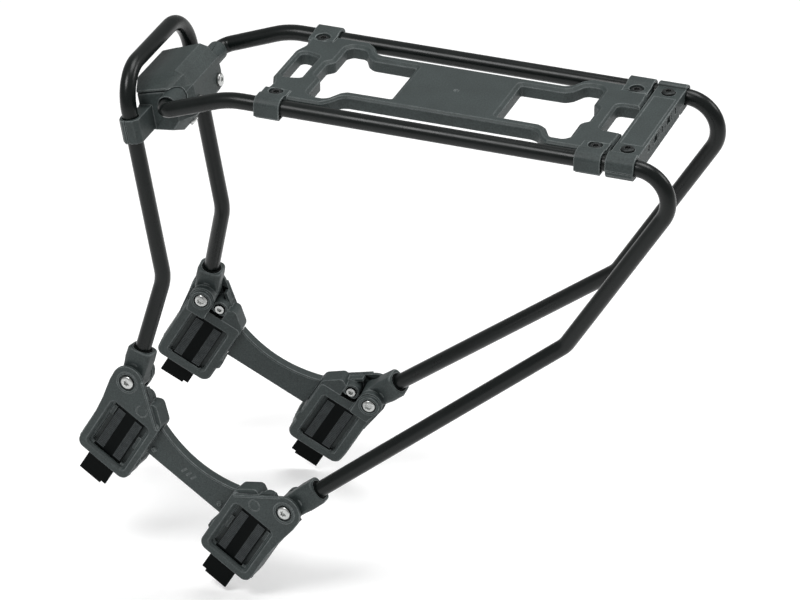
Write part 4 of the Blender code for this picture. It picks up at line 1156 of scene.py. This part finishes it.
FLOOR_SIZE = 9.0
FLOOR_GAP = 0.004
FLOOR_GLOW = 0.16
SKY_STRENGTH = 0.42
CAMERA_TURN = 20.4
CAMERA_RISE = 29.2
CAMERA_AIM = Vector((-21.45, 0.0, -85.8))
CAMERA_AWAY = 3530.1
CAMERA_LEFT = 20.7
CAMERA_DOWN = 80.0
SENSOR_WIDTH = 36.0
FOCAL_WIDTHS = 4821.9 / 800.0  # focal length as a share of the sensor's width


def make_floor():
    deselect()
    low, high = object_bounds()
    middle = (low + high) / 2.0
    bpy.ops.mesh.primitive_plane_add(size=FLOOR_SIZE, location=(middle.x, middle.y, low.z - FLOOR_GAP))
    floor = bpy.context.view_layer.objects.active
    floor.name = "studio_floor"
    material, tree, shader = new_material("studio_paper", (0.92, 0.92, 0.92), 0.8)
    cloud = add(tree, "ShaderNodeTexNoise", [("Scale", 3.0)]).outputs["Fac"]
    tree.links.new(ranged(tree, cloud, 0.0, 1.0, 0.91, 0.93), shader.inputs["Base Color"])
    shader.inputs["Emission Color"].default_value = (1.0, 1.0, 1.0, 1.0)
    shader.inputs["Emission Strength"].default_value = FLOOR_GLOW
    floor.data.materials.append(material)


def area_light(name, place, target, size, power):
    deselect()
    bpy.ops.object.light_add(type="AREA", location=place)
    lamp = bpy.context.view_layer.objects.active
    lamp.name = name
    lamp.data.shape = "DISK"
    lamp.data.size = size
    lamp.data.energy = power
    lamp.rotation_euler = (Vector(target) - Vector(place)).to_track_quat("-Z", "Y").to_euler()
    return lamp


def make_light():
    world = bpy.data.worlds.new("studio_world")
    bpy.context.scene.world = world
    world.use_nodes = True
    world.node_tree.nodes["Background"].inputs["Color"].default_value = (1.0, 1.0, 1.0, 1.0)
    world.node_tree.nodes["Background"].inputs["Strength"].default_value = SKY_STRENGTH
    middle = (0.0, 0.0, -0.15)
    area_light("key_lamp", (-0.6, -1.2, 1.6), middle, 0.9, 24.0)
    area_light("top_lamp", (0.3, 0.5, 1.9), middle, 1.2, 24.0)
    area_light("far_lamp", (1.4, 0.9, 0.9), middle, 0.7, 9.0)
    view = bpy.context.scene.view_settings
    view.view_transform = "Standard"
    view.look = "None"


def make_camera():
    azimuth, elevation = math.radians(CAMERA_TURN), math.radians(CAMERA_RISE)
    right = Vector((math.cos(azimuth), math.sin(azimuth), 0.0))
    flat = math.cos(elevation)
    back = Vector((math.sin(azimuth) * flat, -math.cos(azimuth) * flat, math.sin(elevation)))
    up = back.cross(right)
    place = CAMERA_AIM + back * CAMERA_AWAY - right * CAMERA_LEFT - up * CAMERA_DOWN
    bpy.ops.object.camera_add(location=place * MM, rotation=back.to_track_quat("Z", "Y").to_euler())
    camera = bpy.context.view_layer.objects.active
    camera.name = "studio_camera"
    camera.data.sensor_width = SENSOR_WIDTH
    camera.data.lens = FOCAL_WIDTHS * SENSOR_WIDTH
    camera.data.clip_start = 0.1
    camera.data.clip_end = 30.0
    bpy.context.scene.camera = camera


make_floor()
make_light()
make_camera()
